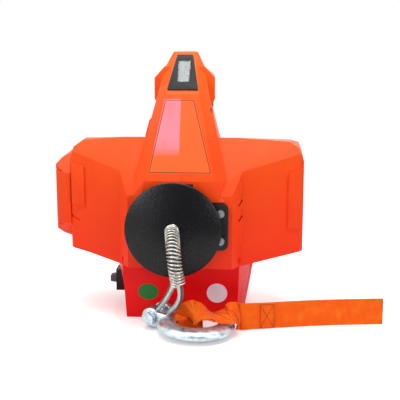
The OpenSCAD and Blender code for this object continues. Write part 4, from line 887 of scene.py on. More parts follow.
def skin(name: str, rings: np.ndarray, look: Look) -> bpy.types.Object:
    """Makes a closed form from rings of points.

    Args:
        name: The piece's name.
        rings: Points of each ring, in millimetres.
        look: Its finish.

    Returns:
        The form.
    """
    return make_object(name, rings.reshape(-1, 3) * MM, ring_faces(len(rings), rings.shape[1]), look)


def plate(name: str, outline: tuple | list, place: Matrix, thick: float, look: Look) -> bpy.types.Object:
    """Makes a flat plate from an outline, in millimetres.

    Args:
        name: The piece's name.
        outline: Points (x, y) in the plate's own plane, counterclockwise.
        place: Where the plate's plane lies, in millimetres.
        thick: Its thickness, along the plane's z.
        look: Its finish.

    Returns:
        The plate object.
    """
    count = len(outline)
    points = [(place @ Vector((x, y, z))) * MM for z in (0.0, thick) for x, y in outline]
    faces = [list(range(count))[::-1], list(range(count, 2 * count))]
    faces += [[i, (i + 1) % count, count + (i + 1) % count, count + i] for i in range(count)]
    return make_object(name, points, faces, look, smooth=False)


def plane_at(origin: tuple, across: tuple, up: tuple) -> Matrix:
    """Places a plane.

    Args:
        origin: A point in it.
        across: Its x direction.
        up: Its y direction.

    Returns:
        The plane's matrix.
    """
    x, y = Vector(across).normalized(), Vector(up).normalized()
    matrix = Matrix.Identity(4)
    for column, axis in enumerate((x, y, x.cross(y), Vector(origin))):
        for row in range(3):
            matrix[row][column] = axis[row]
    return matrix


def join(name: str, parts: list) -> bpy.types.Object:
    """Joins objects into one piece.

    Args:
        name: The piece's name.
        parts: The objects, the one to keep first.

    Returns:
        The piece.
    """
    with bpy.context.temp_override(active_object=parts[0], selected_editable_objects=parts):
        bpy.ops.object.join()
    parts[0].name = name
    return parts[0]


def block(name: str, size: tuple, place: Matrix, look: Look, edge_mm: float) -> bpy.types.Object:
    """Makes a box with rounded edges.

    Args:
        name: The piece's name.
        size: Its size in millimetres.
        place: Where it lies, in millimetres.
        look: Its finish.
        edge_mm: The edge radius.

    Returns:
        The box.
    """
    bm = bmesh.new()
    bmesh.ops.create_cube(bm, size=1.0)
    bmesh.ops.scale(bm, vec=Vector(size), verts=bm.verts)
    return finish_primitive(bm, name, place, look, edge_mm)


def drum_shape(
    name: str, radius: float, depth: float, place: Matrix, look: Look, edge_mm: float
) -> bpy.types.Object:
    """Makes a cylinder along its own z, with rounded edges.

    Args:
        name: The piece's name.
        radius: Its radius in millimetres.
        depth: Its length in millimetres.
        place: Where it lies, in millimetres.
        look: Its finish.
        edge_mm: The edge radius.

    Returns:
        The cylinder.
    """
    bm = bmesh.new()
    bmesh.ops.create_cone(bm, cap_ends=True, segments=64, radius1=radius, radius2=radius, depth=depth)
    return finish_primitive(bm, name, place, look, edge_mm)


def finish_primitive(
    bm: bmesh.types.BMesh, name: str, place: Matrix, look: Look, edge_mm: float
) -> bpy.types.Object:
    """Places, rounds and names a form.

    Args:
        bm: The form, in millimetres.
        name: The piece's name.
        place: Where it lies, in millimetres.
        look: Its finish.
        edge_mm: The edge radius.

    Returns:
        The piece, linked to the scene.
    """
    bmesh.ops.transform(bm, matrix=place, verts=bm.verts)
    above = math.radians(ROUND_ABOVE)
    sharp = [e for e in bm.edges if len(e.link_faces) == 2 and e.calc_face_angle(0) > above]
    rounding = {"offset": edge_mm, "segments": 3, "profile": 0.5, "affect": "EDGES", "clamp_overlap": True}
    bmesh.ops.bevel(bm, geom=sharp, **rounding)
    bmesh.ops.scale(bm, vec=(MM,) * 3, verts=bm.verts)
    mesh = bpy.data.meshes.new(name)
    bm.to_mesh(mesh)
    bm.free()
    mesh.shade_smooth()
    mesh.set_sharp_from_angle(angle=math.radians(SHARP_ABOVE))
    mesh.materials.append(look.material())
    part = bpy.data.objects.new(name, mesh)
    bpy.context.scene.collection.objects.link(part)
    return part


@dataclass
class Studio:
    """Camera, lights, floor and background, in metres and watts."""

    camera_at: tuple = (0.0763, -0.8778, 0.2942)
    look_at: tuple = (0.0148, 0.0004, 0.1071)
    lens: float = 82.6
    sensor: float = 36.0
    clip: tuple = (0.05, 20.0)
    # each soft box: its name, place, aim, width and power
    boxes: tuple = (
        ("TopBox", (0.0, -0.15, 1.25), (0, 0, 0.1), 1.2, 15.0),
        ("LeftBox", (-1.05, -0.9, 0.8), (0, 0, 0.12), 0.8, 8.5),
        ("RightBox", (1.15, -0.95, 0.6), (0, 0, 0.12), 0.8, 8.0),
        ("BackBox", (0.2, 1.3, 1.0), (0, 0, 0.15), 1.0, 7.0),
    )
    floor_reach: float = 6.0
    floor_level: float = -0.00004
    floor_tone: float = 0.93
    floor_lift: float = 0.3
    floor_fade: tuple = (0.26, 0.46)
    sky_on_object: float = 0.2
    room: float = 0.2
    # directions, as their share along Y or X, over which the white cloth comes in
    back_cloth: tuple = (-0.25, 0.15)
    left_cloth: tuple = (-0.16, -0.42)

    def build(self) -> None:
        """Builds the stage."""
        self.camera()
        self.lights()
        self.floor()
        self.world()
        bpy.context.scene.view_settings.view_transform = "Standard"

    def camera(self) -> None:
        """Sets the camera where the photograph's stood."""
        data = bpy.data.cameras.new("Camera")
        data.lens, data.sensor_width = self.lens, self.sensor
        data.clip_start, data.clip_end = self.clip
        camera = bpy.data.objects.new("Camera", data)
        camera.location = self.camera_at
        aim = Vector(self.look_at) - Vector(self.camera_at)
        camera.rotation_euler = aim.to_track_quat("-Z", "Y").to_euler()
        bpy.context.scene.collection.objects.link(camera)
        bpy.context.scene.camera = camera

    def lights(self) -> None:
        """Adds soft boxes: above, left front, right front and behind."""
        for name, place, aim, size, watts in self.boxes:
            data = bpy.data.lights.new(name, "AREA")
            data.shape, data.size, data.energy = "SQUARE", size, watts
            lamp = bpy.data.objects.new(name, data)
            lamp.location = place
            lamp.rotation_euler = (Vector(aim) - Vector(place)).to_track_quat("-Z", "Y").to_euler()
            bpy.context.scene.collection.objects.link(lamp)

    def floor(self) -> None:
        """Lays a large white floor just under the feet, which fades out around the part."""
        r = Recipe("white_floor")
        away = r.add("VectorMath", (r.place,), "Value", operation="LENGTH")
        seen = r.add("LightPath", out="Is Camera Ray")
        material = r.close(
            Base_Color=(self.floor_tone,) * 3 + (1,),
            Roughness=0.3,
            IOR=1.32,
            Emission_Color=WHITE,
            Emission_Strength=r.add("Math", (seen, self.floor_lift), operation="MULTIPLY"),
            Alpha=r.add("MapRange", (away, *self.floor_fade, 1.0, 0.0)),
        )
        reach = self.floor_reach
        corners = ((-reach, -reach), (reach, -reach), (reach, reach), (-reach, reach))
        mesh = bpy.data.meshes.new("Floor")
        mesh.from_pydata([(x, y, self.floor_level) for x, y in corners], [], [[0, 1, 2, 3]])
        mesh.materials.append(material)
        floor = bpy.data.objects.new("Floor", mesh)
        bpy.context.scene.collection.objects.link(floor)

    def world(self) -> None:
        """Makes the background white to the camera and dimmer to the object."""
        world = bpy.data.worlds.new("Studio")
        world.use_nodes = True
        tree = world.node_tree
        tree.nodes.clear()
        camera, glossy, clear = (
            add_node(tree, "LightPath", out=f"Is {kind} Ray") for kind in ("Camera", "Glossy", "Transmission")
        )
        # White cloth stands behind the part and on its left, and the camera's side is dim in its metal
        way = add_node(tree, "TexCoord", out="Generated")
        back, left = (
            add_node(tree, "MapRange", (add_node(tree, "SeparateXYZ", (way,), axis), *ends, self.room))
            for axis, ends in (("Y", self.back_cloth), ("X", self.left_cloth))
        )
        cloth = add_node(tree, "Math", (back, left), operation="MAXIMUM")
        mirror = add_node(tree, "Math", (glossy, clear), operation="MAXIMUM")
        lit = add_node(tree, "MapRange", (mirror, 0.0, 1.0, self.sky_on_object, cloth))
        strength = add_node(tree, "MapRange", (camera, 0.0, 1.0, lit, 1.0))
        sky = add_node(tree, "Background", {"Color": WHITE, "Strength": strength})
        add_node(tree, "OutputWorld", {"Surface": sky})
        bpy.context.scene.world = world


@dataclass
class Casing:
    """The two moulded halves, the base and the motor's end cap."""

    edge: float = 1.6
    base_edge: float = 1.2
    # bends, in degrees, above which edges are rounded
    facet: float = 12.0
    corner: float = 20.0

    def dress(self, frame: Frame) -> None:
        """Gives the shells their plastic and rounded edges.

        Args:
            frame: The CAD frame.
        """
        # The casing's plastic is painted lighter higher up, as painted light
        frame.dress(Look.CASING, "casing_left", "casing_right", "motor_end_cap")
        # The base is the casing's plastic painted darker and redder, as painted shade
        frame.dress(Look.BASE, "base_shell")
        frame.dress(Look.DARK_SCREW, "casing_screws")
        frame.soften(self.edge, self.facet, "casing_left", "casing_right")
        frame.soften(self.edge, self.corner, "motor_end_cap")
        frame.soften(self.base_edge, self.corner, "base_shell")


@dataclass
class Gearwork:
    """Motor, brake, gearbox and drum inside the casing."""

    stages: tuple = ("one", "two")
    planets: str = "abc"

    def dress(self, frame: Frame) -> None:
        """Gives the hidden parts their metals.

        Args:
            frame: The CAD frame.
        """
        planets = [f"stage_{s}_planet_{k}" for s in self.stages for k in self.planets]
        frame.dress(Look.HOBBED, *planets, "first_carrier", "ring_gear", "drive_shaft")
        frame.dress(Look.TURNED, "drum", "output_carrier", "gearbox_flange", "motor_bearings", "brake_rotor")
        frame.dress(Look.ZINC, "motor_side_plate", "gear_side_plate", "tie_bars")
        frame.dress(Look.CAST, "gearbox_cover", "brake_case", "swivel_block")
        frame.dress(Look.PASSIVATED, "motor_can")
        frame.dress(Look.FERRITE, "motor_magnets")
        frame.dress(Look.BLACK, "brush_ring", "cooling_fan")
        frame.dress(Look.BRONZE, "drum_bushes")
        frame.dress(Look.COPPER, "armature_core")
        frame.dress(Look.LINING, "brake_pads")
        frame.dress(Look.ROPE, "wound_rope")


@dataclass
class Controls:
    """Display, trigger, direction bar, grip, power switch and charging socket."""

    edge: float = 0.5
    small_edge: float = 0.4
    corner: float = 30.0

    def dress(self, frame: Frame) -> None:
        """Gives the controls their plastics.

        Args:
            frame: The CAD frame.
        """
        frame.dress(Look.GLOSS_BLACK, "display_bezel")
        frame.dress(Look.WINDOW, "display_lens")
        frame.dress(Look.DISPLAY, "display_module")
        frame.dress(Look.BLACK, "trigger", "trigger_switch", "direction_bar", "switch_bezel", "charge_socket")
        frame.dress(Look.GREY, "power_rocker")
        frame.dress(Look.RUBBER, "grip_pad")
        frame.dress(Look.CELL, "battery_cells")
        frame.dress(Look.BOARD, "control_board")
        frame.soften(self.edge, self.corner, "display_bezel", "switch_bezel", "trigger")
        frame.soften(self.small_edge, self.corner, "power_rocker", "charge_socket")


@dataclass
class RopeExit:
    """Fairlead, limit lever and the limit stop disc."""

    plate_edge: float = 0.8
    disc_edge: float = 1.0
    corner: float = 30.0

    def dress(self, frame: Frame) -> None:
        """Gives the rope exit its finishes.

        Args:
            frame: The CAD frame.
        """
        frame.dress(Look.BLACK, "fairlead_plate", "limit_lever")
        frame.dress(Look.TURNED, "fairlead_ring")
        frame.dress(Look.ZINC, "fairlead_screws")
        frame.dress(Look.CRACKLE, "stop_disc")
        frame.soften(self.plate_edge, self.corner, "fairlead_plate")
        frame.soften(self.disc_edge, self.corner, "stop_disc")


@dataclass
class RearSwivel:
    """The swivelling anchor hook at the back."""

    shank_edge: float = 0.8
    small_edge: float = 0.4
    corner: float = 35.0

    def dress(self, frame: Frame) -> None:
        """Gives the swivel its forged zinc.

        Args:
            frame: The CAD frame.
        """
        frame.dress(Look.FORGING, "swivel_shank", "rear_hook", "rear_hook_pin")
        frame.dress(Look.ZINC, "rear_latch")
        frame.soften(self.shank_edge, self.corner, "swivel_shank")
        frame.soften(self.small_edge, self.corner, "rear_latch", "rear_hook_pin")


@dataclass
class ClevisBolt:
    """The bolt that holds the front hook to the rope's eye."""

    edge: float = 0.5
    corner: float = 30.0

    def dress(self, frame: Frame) -> None:
        """Gives the bolt its plated steel.

        Args:
            frame: The CAD frame.
        """
        frame.dress(Look.FORGING, "clevis_bolt")
        frame.soften(self.edge, self.corner, "clevis_bolt")


@dataclass
class RopeEnd:
    """Rope, spring guard and thimble that hang out of the disc."""

    bend_radius: float = 25.0
    bend: float = 105.0
    lead: float = 3.0
    tail: float = 12.0
    drift: float = 8.0
    start: tuple = (-5.5, -76.4, 94.5)
    curls: int = 21
    curl_steps: int = 20
    coil_radius: float = 6.0
    wire: float = 1.6
    rope: float = 5.0
    eye_rope: float = 4.8
    # where the free rope begins, at the disc's face
    disc_y: float = -75.9
    ferrule_radius: float = 4.3
    # the thimble's groove: outer and inner radius round the rope, and half its opening in degrees
    groove: tuple = (3.2, 2.55)
    groove_turn: float = 105.0
    # the rope's middle line, from the drum through the disc to the ferrule
    route: tuple = (
        (-5.5, 0, 84.2), (-5.5, -20, 86), (-5.5, -40, 91), (-5.5, -56, 94.2), (-5.5, -70, 94.5),
        (-5.1, -79.5, 94.5), (-4.3, -86, 93.6), (-3.4, -92, 91), (-2.5, -97, 87.2), (-1.7, -101, 82),
        (-0.8, -103.4, 76), (0, -104.3, 69.5), (0.8, -103.6, 63.5),
    )  # fmt: skip
    ferrule: tuple = ((0.8, -103.6, 63.5), (1.6, -101.8, 57))
    # the eye's two legs, from the ferrule down to the bolt
    left_leg: tuple = (
        (-0.8, -103.4, 63), (-1.6, -101.5, 57), (-4.2, -96.5, 47.5), (-8.2, -89.5, 38.5), (-13.4, -81, 29),
        (-19, -72.4, 20.5),
    )  # fmt: skip
    right_leg: tuple = (
        (2.4, -103.4, 63), (3.2, -101.9, 57), (4.4, -98.6, 47.5), (4.2, -94.2, 38), (0, -86, 27.5),
        (-8.4, -74, 16.5),
    )  # fmt: skip
    eye_centre: tuple = (-20.5, -62.6, 10.5)
    eye_axis: tuple = (0.454, 0.891, 0.0)
    eye_radius: float = 6.9
    # the eye's ring, in degrees from where the legs meet it: first, last and step
    eye_turns: tuple = (75, 285, 15)

    def guard_length(self) -> float:
        """Returns the guard's length along its middle."""
        return self.lead + self.bend_radius * math.radians(self.bend) + self.tail

    def guard_point(self, s: float) -> tuple[np.ndarray, np.ndarray]:
        """Follows the guard's middle: a straight lead, a bend and a straight tail.

        Args:
            s: The distance along it.

        Returns:
            The middle and its outward side there.
        """
        end = math.radians(self.bend)
        arc = self.bend_radius * end
        turn = end * min(max((s - self.lead) / arc, 0.0), 1.0)
        tail = max(0.0, s - self.lead - arc)
        x, y, z = self.start
        middle = np.array([
            x + self.drift * s / self.guard_length(),
            y - min(s, self.lead) - self.bend_radius * math.sin(turn) - tail * math.cos(end),
            z - self.bend_radius * (1 - math.cos(turn)) - tail * math.sin(end),
        ])  # fmt: skip
        return middle, np.array([0.0, -math.sin(turn), math.cos(turn)])

    def guard(self) -> bpy.types.Object:
        """Winds the round wire of the spring guard.

        Returns:
            The guard.
        """
        steps = self.curls * self.curl_steps
        rows = []
        for i in range(steps + 1):
            middle, out = self.guard_point(self.wire / 2 + (self.guard_length() - self.wire) * i / steps)
            turn = 2 * math.pi * i / self.curl_steps
            way = math.cos(turn) * out + math.sin(turn) * np.array(X_AXIS)
            rows.append(middle + self.coil_radius * way)
        return tube("guard_spring", np.array(rows), self.wire / 2, 10, Look.SPRING, Z_AXIS)

    def loop(self) -> tuple[np.ndarray, np.ndarray]:
        """Runs the eye down its left leg, round the bolt and up its right leg.

        Returns:
            Its middle line, and the way towards its inside at each point.
        """
        centre, axis = np.array(self.eye_centre), unit(np.array(self.eye_axis))
        left, right = smooth_path(self.left_leg, steps=5), smooth_path(self.right_leg, steps=5)[::-1]
        toward = (left[-1] + right[0]) / 2 - centre
        toward = unit(toward - axis * (toward @ axis))
        across = np.cross(toward, axis)
        if (left[-1] - centre) @ across < 0:
            across = -across
        first, last, step = self.eye_turns
        turns = np.radians(np.arange(first, last + 1, step))
        ring = [centre + self.eye_radius * (math.cos(t) * toward + math.sin(t) * across) for t in turns]
        partner = right[::-1]
        inside = np.vstack([unit(partner - left), unit(centre - np.array(ring)), unit(left - partner)[::-1]])
        return np.vstack([left, ring, right]), inside

    def thimble(self, line: np.ndarray, inside: np.ndarray) -> bpy.types.Object:
        """Makes the grooved thimble that lines the eye.

        Args:
            line: The eye's middle line.
            inside: The way towards its inside.

        Returns:
            The thimble.
        """
        rows = smooth_path(np.hstack([line, inside]), steps=3)
        middle, way = rows[:, :3], unit(rows[:, 3:])
        travel = unit(np.gradient(middle, axis=0))
        way = unit(way - travel * np.sum(way * travel, axis=1, keepdims=True))
        side = np.cross(travel, way)
        turns = np.radians(np.linspace(-self.groove_turn, self.groove_turn, 13))
        outer, inner = self.groove
        section = [(outer, t) for t in turns] + [(inner, t) for t in turns[::-1]]
        rings = np.stack([middle + r * (math.cos(t) * way + math.sin(t) * side) for r, t in section], axis=1)
        return skin("thimble", rings, Look.PALE_ZINC)

    def build(self) -> list[bpy.types.Object]:
        """Builds the rope, the guard, the eye, its thimble and the ferrule.

        Returns:
            The pieces.
        """
        guard = self.guard()
        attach(guard, ROOT_BODY)
        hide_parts("spring_guard")
        route = smooth_path(self.route, steps=8)
        split = int(np.argmin(np.abs(route[:, 1] - self.disc_y)))
        inner = wire_rope("rope_inner", route[: split + 1], self.rope / 2, Look.ROPE)
        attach(inner, ROOT_BODY)
        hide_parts("rope_lead")
        outer = spaced(route[split:], step=1.0)
        free = wire_rope("rope_free", outer, self.rope / 2, Look.ROPE)
        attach(free, ROOT_BODY)
        line, inside = self.loop()
        eye = wire_rope("rope_eye", smooth_path(line, steps=3), self.eye_rope / 2, Look.ROPE)
        lining = self.thimble(line, inside)
        sleeve = smooth_path(self.ferrule, steps=6)
        ferrule = tube("rope_ferrule", sleeve, self.ferrule_radius, 32, Look.PALE_ZINC)
        for piece in (eye, lining, ferrule):
            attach(piece, ROOT_BODY)
            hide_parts("thimble_end")
        return [guard, inner, free, eye, lining, ferrule]


@dataclass
class FrontHook:
    """The forged clevis hook."""

    reach: float = 42.0
    bowl: float = 28.0
    # its turn about Z and its lean, in degrees, as it lies on the floor
    yaw: float = -27.0
    tilt: float = 2.6
    pin_at: tuple = (-20.5, -62.6, 10.5)
    # the forging's line: x, y, outward x and y, width and thickness at its root
    root: tuple = ((14.0, 5.0, -1.0, 0.0, 15.0, 11.0), (14.0, -1.0, -1.0, -0.05, 18.5, 12.0))
    # then a bend, in degrees, of this width and thickness, which swell in its belly and thin to the tip
    bend: tuple = (200, 425)
    section: tuple = (16.6, 10.6)
    belly: tuple = (2.0, 0.9)
    taper: tuple = (4.2, 2.4)
    belly_share: float = 0.9
    taper_share: float = 0.72
    # and the tip: step along, step out, width and thickness
    tip: tuple = ((2, 0.3, 12.6, 7.6), (4.5, 1.2, 10, 6.4), (6.5, 2.4, 6.6, 4.6), (7.6, 3.2, 3, 2.2))
    squareness: float = 0.82
    crown: float = 0.2
    # the clevis: its two ears and arms, and the bar that joins them
    half_width: float = 12.5
    ear: float = 9.5
    ear_width: float = 5.5
    ear_edge: float = 0.9
    arm: tuple = (15.0, 13.0)
    arm_edge: float = 1.2
    bar_at: float = 14.5
    bar: tuple = (5.4, 13.0)
    bar_edge: float = 1.4

    def place(self) -> Matrix:
        """Returns the hook's own frame, in millimetres."""
        turn = Matrix.Rotation(math.radians(self.yaw), 4, "Z")
        return Matrix.Translation(self.pin_at) @ turn @ Matrix.Rotation(math.radians(self.tilt), 4, "Y")

    def rows(self) -> list:
        """Follows the forging from its root, round the bowl, to its tip.

        Returns:
            Rows of x, y, outward x and y, width and thickness.
        """
        rows = list(self.root)
        first, last = self.bend
        for angle in range(first, last + 1, 5):
            a = math.radians(angle)
            share = (angle - first) / (last - first)
            swell = math.sin(math.pi * min(1.0, share / self.belly_share))
            thin = max(0.0, share - self.taper_share) / (1 - self.taper_share)
            size = [s + b * swell - t * thin for s, b, t in zip(self.section, self.belly, self.taper)]
            x, y = self.reach + self.bowl * math.cos(a), self.bowl * math.sin(a)
            rows.append((x, y, math.cos(a), math.sin(a), *size))
        for step, out, *size in self.tip:
            tip_x = x - step * math.sin(a) + out * math.cos(a)
            tip_y = y + step * math.cos(a) + out * math.sin(a)
            rows.append((tip_x, tip_y, math.cos(a), math.sin(a), *size))
        return rows

    def forging(self) -> bpy.types.Object:
        """Makes the bowl from rounded square sections, lower towards the outside.

        Returns:
            The bowl.
        """
        place = self.place()
        turns = np.linspace(0, 2 * math.pi, 28, endpoint=False)
        rings = []
        for x, y, out_x, out_y, width, thick in self.rows():
            ring = []
            for t in turns:
                c, z = math.cos(t), math.sin(t)
                lobe = width / 2 * math.copysign(abs(c) ** self.squareness, c)
                rise = thick / 2 * math.copysign(abs(z) ** self.squareness, z)
                rise *= 1 - self.crown * (1 + c) / 2
                ring.append(place @ Vector((x + out_x * lobe, y + out_y * lobe, rise)))
            rings.append(ring)
        return skin("hook_forging", np.array(rings), Look.FORGING)

    def build(self) -> list[bpy.types.Object]:
        """Builds the bowl and the clevis as one forging.

        Returns:
            The hook, alone in a list.
        """
        place = self.place()
        parts = [self.forging()]
        bar = place @ Matrix.Translation((self.bar_at, 0, 0))
        bar_size = (self.bar[0], 2 * self.half_width, self.bar[1])
        parts.append(block("hook_bar", bar_size, bar, Look.FORGING, self.bar_edge))
        upright = Matrix.Rotation(math.pi / 2, 4, "X")
        arm_size = (self.arm[0], self.ear_width, self.arm[1])
        for name, side in (("a", 1), ("b", -1)):
            middle = side * (self.half_width - self.ear_width / 2)
            ear = place @ Matrix.Translation((0, middle, 0)) @ upright
            form = (self.ear, self.ear_width, ear, Look.FORGING, self.ear_edge)
            parts.append(drum_shape(f"hook_ear_{name}", *form))
            arm = place @ Matrix.Translation((self.arm[0] / 2, middle, 0))
            parts.append(block(f"hook_arm_{name}", arm_size, arm, Look.FORGING, self.arm_edge))
        hook = join("hook_forging", parts)
        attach(hook, HOOK_BODY)
        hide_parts("front_hook")
        return [hook]


@dataclass
class Strap:
    """The pull strap: one length of webbing, folded through the hook and sewn."""

    width: float = 25.0
    thick: float = 1.2
    # the middle line and the way across it: x, y, z and a direction in each row
    route: tuple = (
        (33.09, -83.89, 14.94, -0.3, 0.95, -0), (29.11, -84.45, 16.91, -0.32, 0.95, 0.03),
        (25.35, -84.69, 18.57, -0.37, 0.91, 0.18), (21.59, -84.47, 19.54, -0.43, 0.84, 0.33),
        (17.68, -84.11, 19.42, -0.51, 0.74, 0.44), (14.79, -83.68, 19.04, -0.61, 0.62, 0.5),
        (10.05, -78.01, 15.56, -0.7, 0, 0.72), (10, -78.3, 11.8, -0.74, -0.2, 0.64),
        (10.8, -78.4, 8.6, -0.88, -0.36, 0.2), (10.9, -78.4, 5.4, -0.93, -0.37, 0),
        (11, -79.6, 2.8, -0.93, -0.37, 0), (11, -80.9, 5.4, -0.93, -0.37, 0),
        (10.8, -80.9, 8.6, -0.88, -0.36, 0.2), (10.2, -80.6, 11.8, -0.74, -0.2, 0.64),
        (9.37, -80, 14.9, -0.7, 0, 0.72), (13.41, -85.35, 19.43, -0.61, 0.62, 0.5),
        (17.37, -85.22, 20.93, -0.51, 0.74, 0.44), (21.74, -85.1, 21.33, -0.43, 0.84, 0.33),
        (25.95, -84.8, 20.37, -0.37, 0.91, 0.18), (29.89, -84.25, 18.63, -0.32, 0.95, 0.03),
        (33.6, -83.72, 16.77, -0.3, 0.95, -0), (37.74, -83.42, 16.35, -0.29, 0.95, 0.09),
        (42.74, -83.22, 17.18, -0.24, 0.95, 0.17), (48.69, -82.78, 18.42, -0.17, 0.93, 0.34),
        (53, -77.5, 16.6, -0.13, 0.6, 0.79), (56, -71.8, 13.4, -0.05, 0.12, 0.99), (60, -72, 13.3, 0, 0.1, 1),
        (67, -70, 13.2, 0, 0.05, 1), (80, -67.5, 13.2, 0, 0.02, 1), (100, -62.5, 13.2, 0, 0.02, 1),
        (120, -58, 13.2, 0, 0.02, 1), (145, -53.5, 13.2, 0, 0.02, 1), (170, -50, 13.2, 0, 0.02, 1),
        (190, -47.5, 13.2, 0, 0.02, 1),
    )  # fmt: skip
    # the sewn boxes' corners: distance along the strap and across it
    box_stitch: tuple = ((133.5, 10.5), (146.3, 10.5), (146.8, -12.0), (133.8, -12.0))
    slant_stitch: tuple = ((83.6, 9.5), (94.1, 10.5), (115.6, -8.5), (100.7, -12.0))
    bar_stitch: float = 148.3
    dash: float = 2.6
    dash_share: float = 0.72
    dot: tuple = (0.1, 0.5)
    dot_step: float = 1.5
    dot_reach: float = 10.5
    thread: float = 0.3
    thread_lift: float = 0.05
    # half of the band's section, as shares of its width and thickness, with a selvedge on each edge
    width_shares: tuple = (-1, -0.97, -0.9, -0.6, -0.2, 0.2, 0.6, 0.9, 0.97, 1)
    level_shares: tuple = (0.25, 0.62, 0.56, 0.5, 0.5, 0.5, 0.5, 0.56, 0.62, 0.25)
    # the way that the seen side faces, and one that no stitch runs along
    seen_way: tuple = (0.0, -1.0, 0.35)
    off_way: tuple = (0.3, 0.2, 0.93)
    # a point on the strap's flat run, and one near the hook, in metres
    still_at: tuple = (0.120, -0.0585, 0.013)
    moving_at: tuple = (0.045, -0.076, 0.013)

    def frames(self) -> tuple[np.ndarray, np.ndarray, np.ndarray, np.ndarray]:
        """Follows the band along its route.

        Returns:
            Its middle line, width directions, face directions and distances.
        """
        rows = smooth_path(self.route, steps=7)
        middle, wide = rows[:, :3], unit(rows[:, 3:])
        travel = unit(np.gradient(middle, axis=0))
        wide = unit(wide - travel * np.sum(wide * travel, axis=1, keepdims=True))
        return middle, wide, np.cross(travel, wide), distances(middle)

    def band(
        self, middle: np.ndarray, wide: np.ndarray, face: np.ndarray, run: np.ndarray
    ) -> bpy.types.Object:
        """Makes the webbing with its two selvedges.

        Args:
            middle: The band's middle line.
            wide: The way across it at each point.
            face: The way out of its face.
            run: The distance along it.

        Returns:
            The webbing.
        """
        across = np.array(self.width_shares) * self.width / 2
        level = np.array(self.level_shares) * self.thick
        section = list(zip(across, level)) + list(zip(across[::-1], -level[::-1]))
        rings = np.stack([middle + a * wide + h * face for a, h in section], axis=1)
        sides = len(section)
        faces = ring_faces(len(rings), sides)
        uvs = [(run[k // sides] * MM, section[k % sides][0] * MM) for f in faces for k in f]
        return make_object("strap_webbing", rings.reshape(-1, 3) * MM, faces, Look.WEBBING, uvs=uvs)

    def dashes(self) -> list:
        """Sews two boxes with their crosses and a bar of dots, flat.

        Returns:
            Each dash's two ends, as distances along the strap and across it.
        """
        lines = []
        for box in (self.box_stitch, self.slant_stitch):
            lines += [(box[i], box[(i + 1) % 4]) for i in range(4)] + [(box[0], box[2]), (box[1], box[3])]
        dashes = []
        for start, end in np.array(lines):
            count = max(2, round(math.dist(start, end) / self.dash))
            for i in range(count):
                shares = (i / count, (i + self.dash_share) / count)
                dashes.append([start + (end - start) * share for share in shares])
        along, across = self.dot
        for a in np.arange(-self.dot_reach, self.dot_reach + across, self.dot_step):
            dashes.append(((self.bar_stitch, a), (self.bar_stitch + along, a + across)))
        return dashes

    def stitches(
        self, middle: np.ndarray, wide: np.ndarray, face: np.ndarray, run: np.ndarray
    ) -> bpy.types.Object:
        """Lays each dash as a short six-sided thread on the side that shows.

        Args:
            middle: The band's middle line.
            wide: The way across it at each point.
            face: The way out of its face.
            run: The distance along it.

        Returns:
            The stitches.
        """
        points, faces = [], []
        turns = np.arange(6) * math.pi / 3
        for ends in self.dashes():
            base = len(points)
            spots = []
            for s, a in ends:
                i = min(int(np.searchsorted(run, s)), len(run) - 1)
                lean = np.array([np.interp(s, run, face[:, k]) for k in range(3)])
                side = 1.0 if np.dot(face[i], self.seen_way) > 0 else -1.0
                spot = np.array([np.interp(s, run, middle[:, k] + a * wide[:, k]) for k in range(3)])
                spots.append(spot + side * lean * (self.thick / 2 + self.thread_lift))
            along = unit(spots[1] - spots[0])
            p = unit(np.cross(along, self.off_way))
            q = np.cross(along, p)
            for spot in spots:
                points += [(spot + self.thread * (math.cos(t) * p + math.sin(t) * q)) * MM for t in turns]
            faces += [[base + k for k in face_points] for face_points in ring_faces(2, 6)]
        return make_object("strap_stitches", points, faces, Look.THREAD)

    def build(self) -> list[bpy.types.Object]:
        """Builds the webbing and its stitches.

        Returns:
            The two pieces.
        """
        frames = self.frames()
        band, sewn = self.band(*frames), self.stitches(*frames)
        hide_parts("pull_strap")
        for piece in (band, sewn):
            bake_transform(piece)
        return [band, sewn]


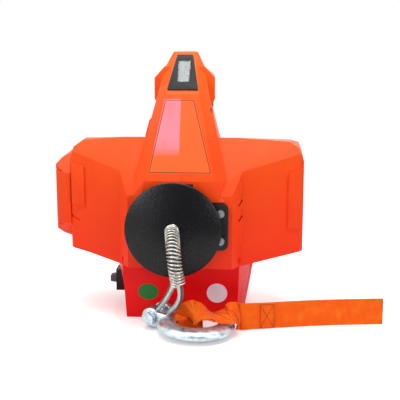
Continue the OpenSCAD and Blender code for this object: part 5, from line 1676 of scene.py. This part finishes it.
@dataclass
class Labels:
    """The blank film on the neck and the blank stickers on the base."""

    # each panel's plane: a point in it, and its directions across and up
    neck: tuple = ((0, -60.5, 137), X_AXIS, (0, 36.5, 76))
    front: tuple = ((0, -42, 0), X_AXIS, (0, -8, 62))
    gap: float = 0.02
    film: tuple = ((-28.8, 7.2), (29.3, 7.2), (11.6, 79.4), (-16.3, 79.4))
    film_thick: float = 0.1
    border: tuple = ((-27.9, 8.2), (28.4, 8.2), (10.7, 78.2), (-15.4, 78.2))
    line: float = 0.6
    line_thick: float = 0.04
    # each sticker: its name, finish, middle and half sizes in the front's plane
    stickers: tuple = (
        ("sticker_green", Look.GREEN_DOT, (-31.4, 27.2), (9.7, 8.3)),
        ("sticker_pale", Look.PALE_DOT, (34.2, 27.0), (9.7, 9.9)),
    )
    sticker_thick: float = 0.12

    def build(self) -> list[bpy.types.Object]:
        """Lays the film, its border and the stickers.

        Returns:
            The pieces.
        """
        neck = plane_at(*self.neck) @ Matrix.Translation((0, 0, self.gap))
        pieces = [plate("label_film", self.film, neck, self.film_thick, Look.FILM)]
        above = neck @ Matrix.Translation((0, 0, self.film_thick))
        for i in range(4):
            a, b = Vector(self.border[i]), Vector(self.border[(i + 1) % 4])
            along = (b - a).normalized() * self.line / 2
            side = Vector((-along.y, along.x))
            outline = [a - along - side, b + along - side, b + along + side, a - along + side]
            pieces.append(plate(f"label_line_{i}", outline, above, self.line_thick, Look.FILM_EDGE))
        front = plane_at(*self.front) @ Matrix.Translation((0, 0, self.gap))
        turns = np.linspace(0, 2 * math.pi, 72, endpoint=False)
        for name, look, (x, y), (wide, high) in self.stickers:
            outline = [(x + wide * math.cos(t), y + high * math.sin(t)) for t in turns]
            pieces.append(plate(name, outline, front, self.sticker_thick, look))
        for piece in pieces:
            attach(piece, ROOT_BODY)
        return pieces


def main() -> None:
    """Loads the frame, builds the stage and dresses every part."""
    logging.basicConfig(level=logging.INFO)
    frame = Frame(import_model())
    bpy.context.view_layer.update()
    Studio().build()
    LOG.info("stage built")
    for group in (Casing(), Gearwork(), Controls(), RopeExit(), RearSwivel(), ClevisBolt()):
        group.dress(frame)
    for group in (RopeEnd(), FrontHook(), Strap(), Labels()):
        for piece in group.build():
            LOG.info("built %s", piece.name)


if __name__ == "__main__":
    main()
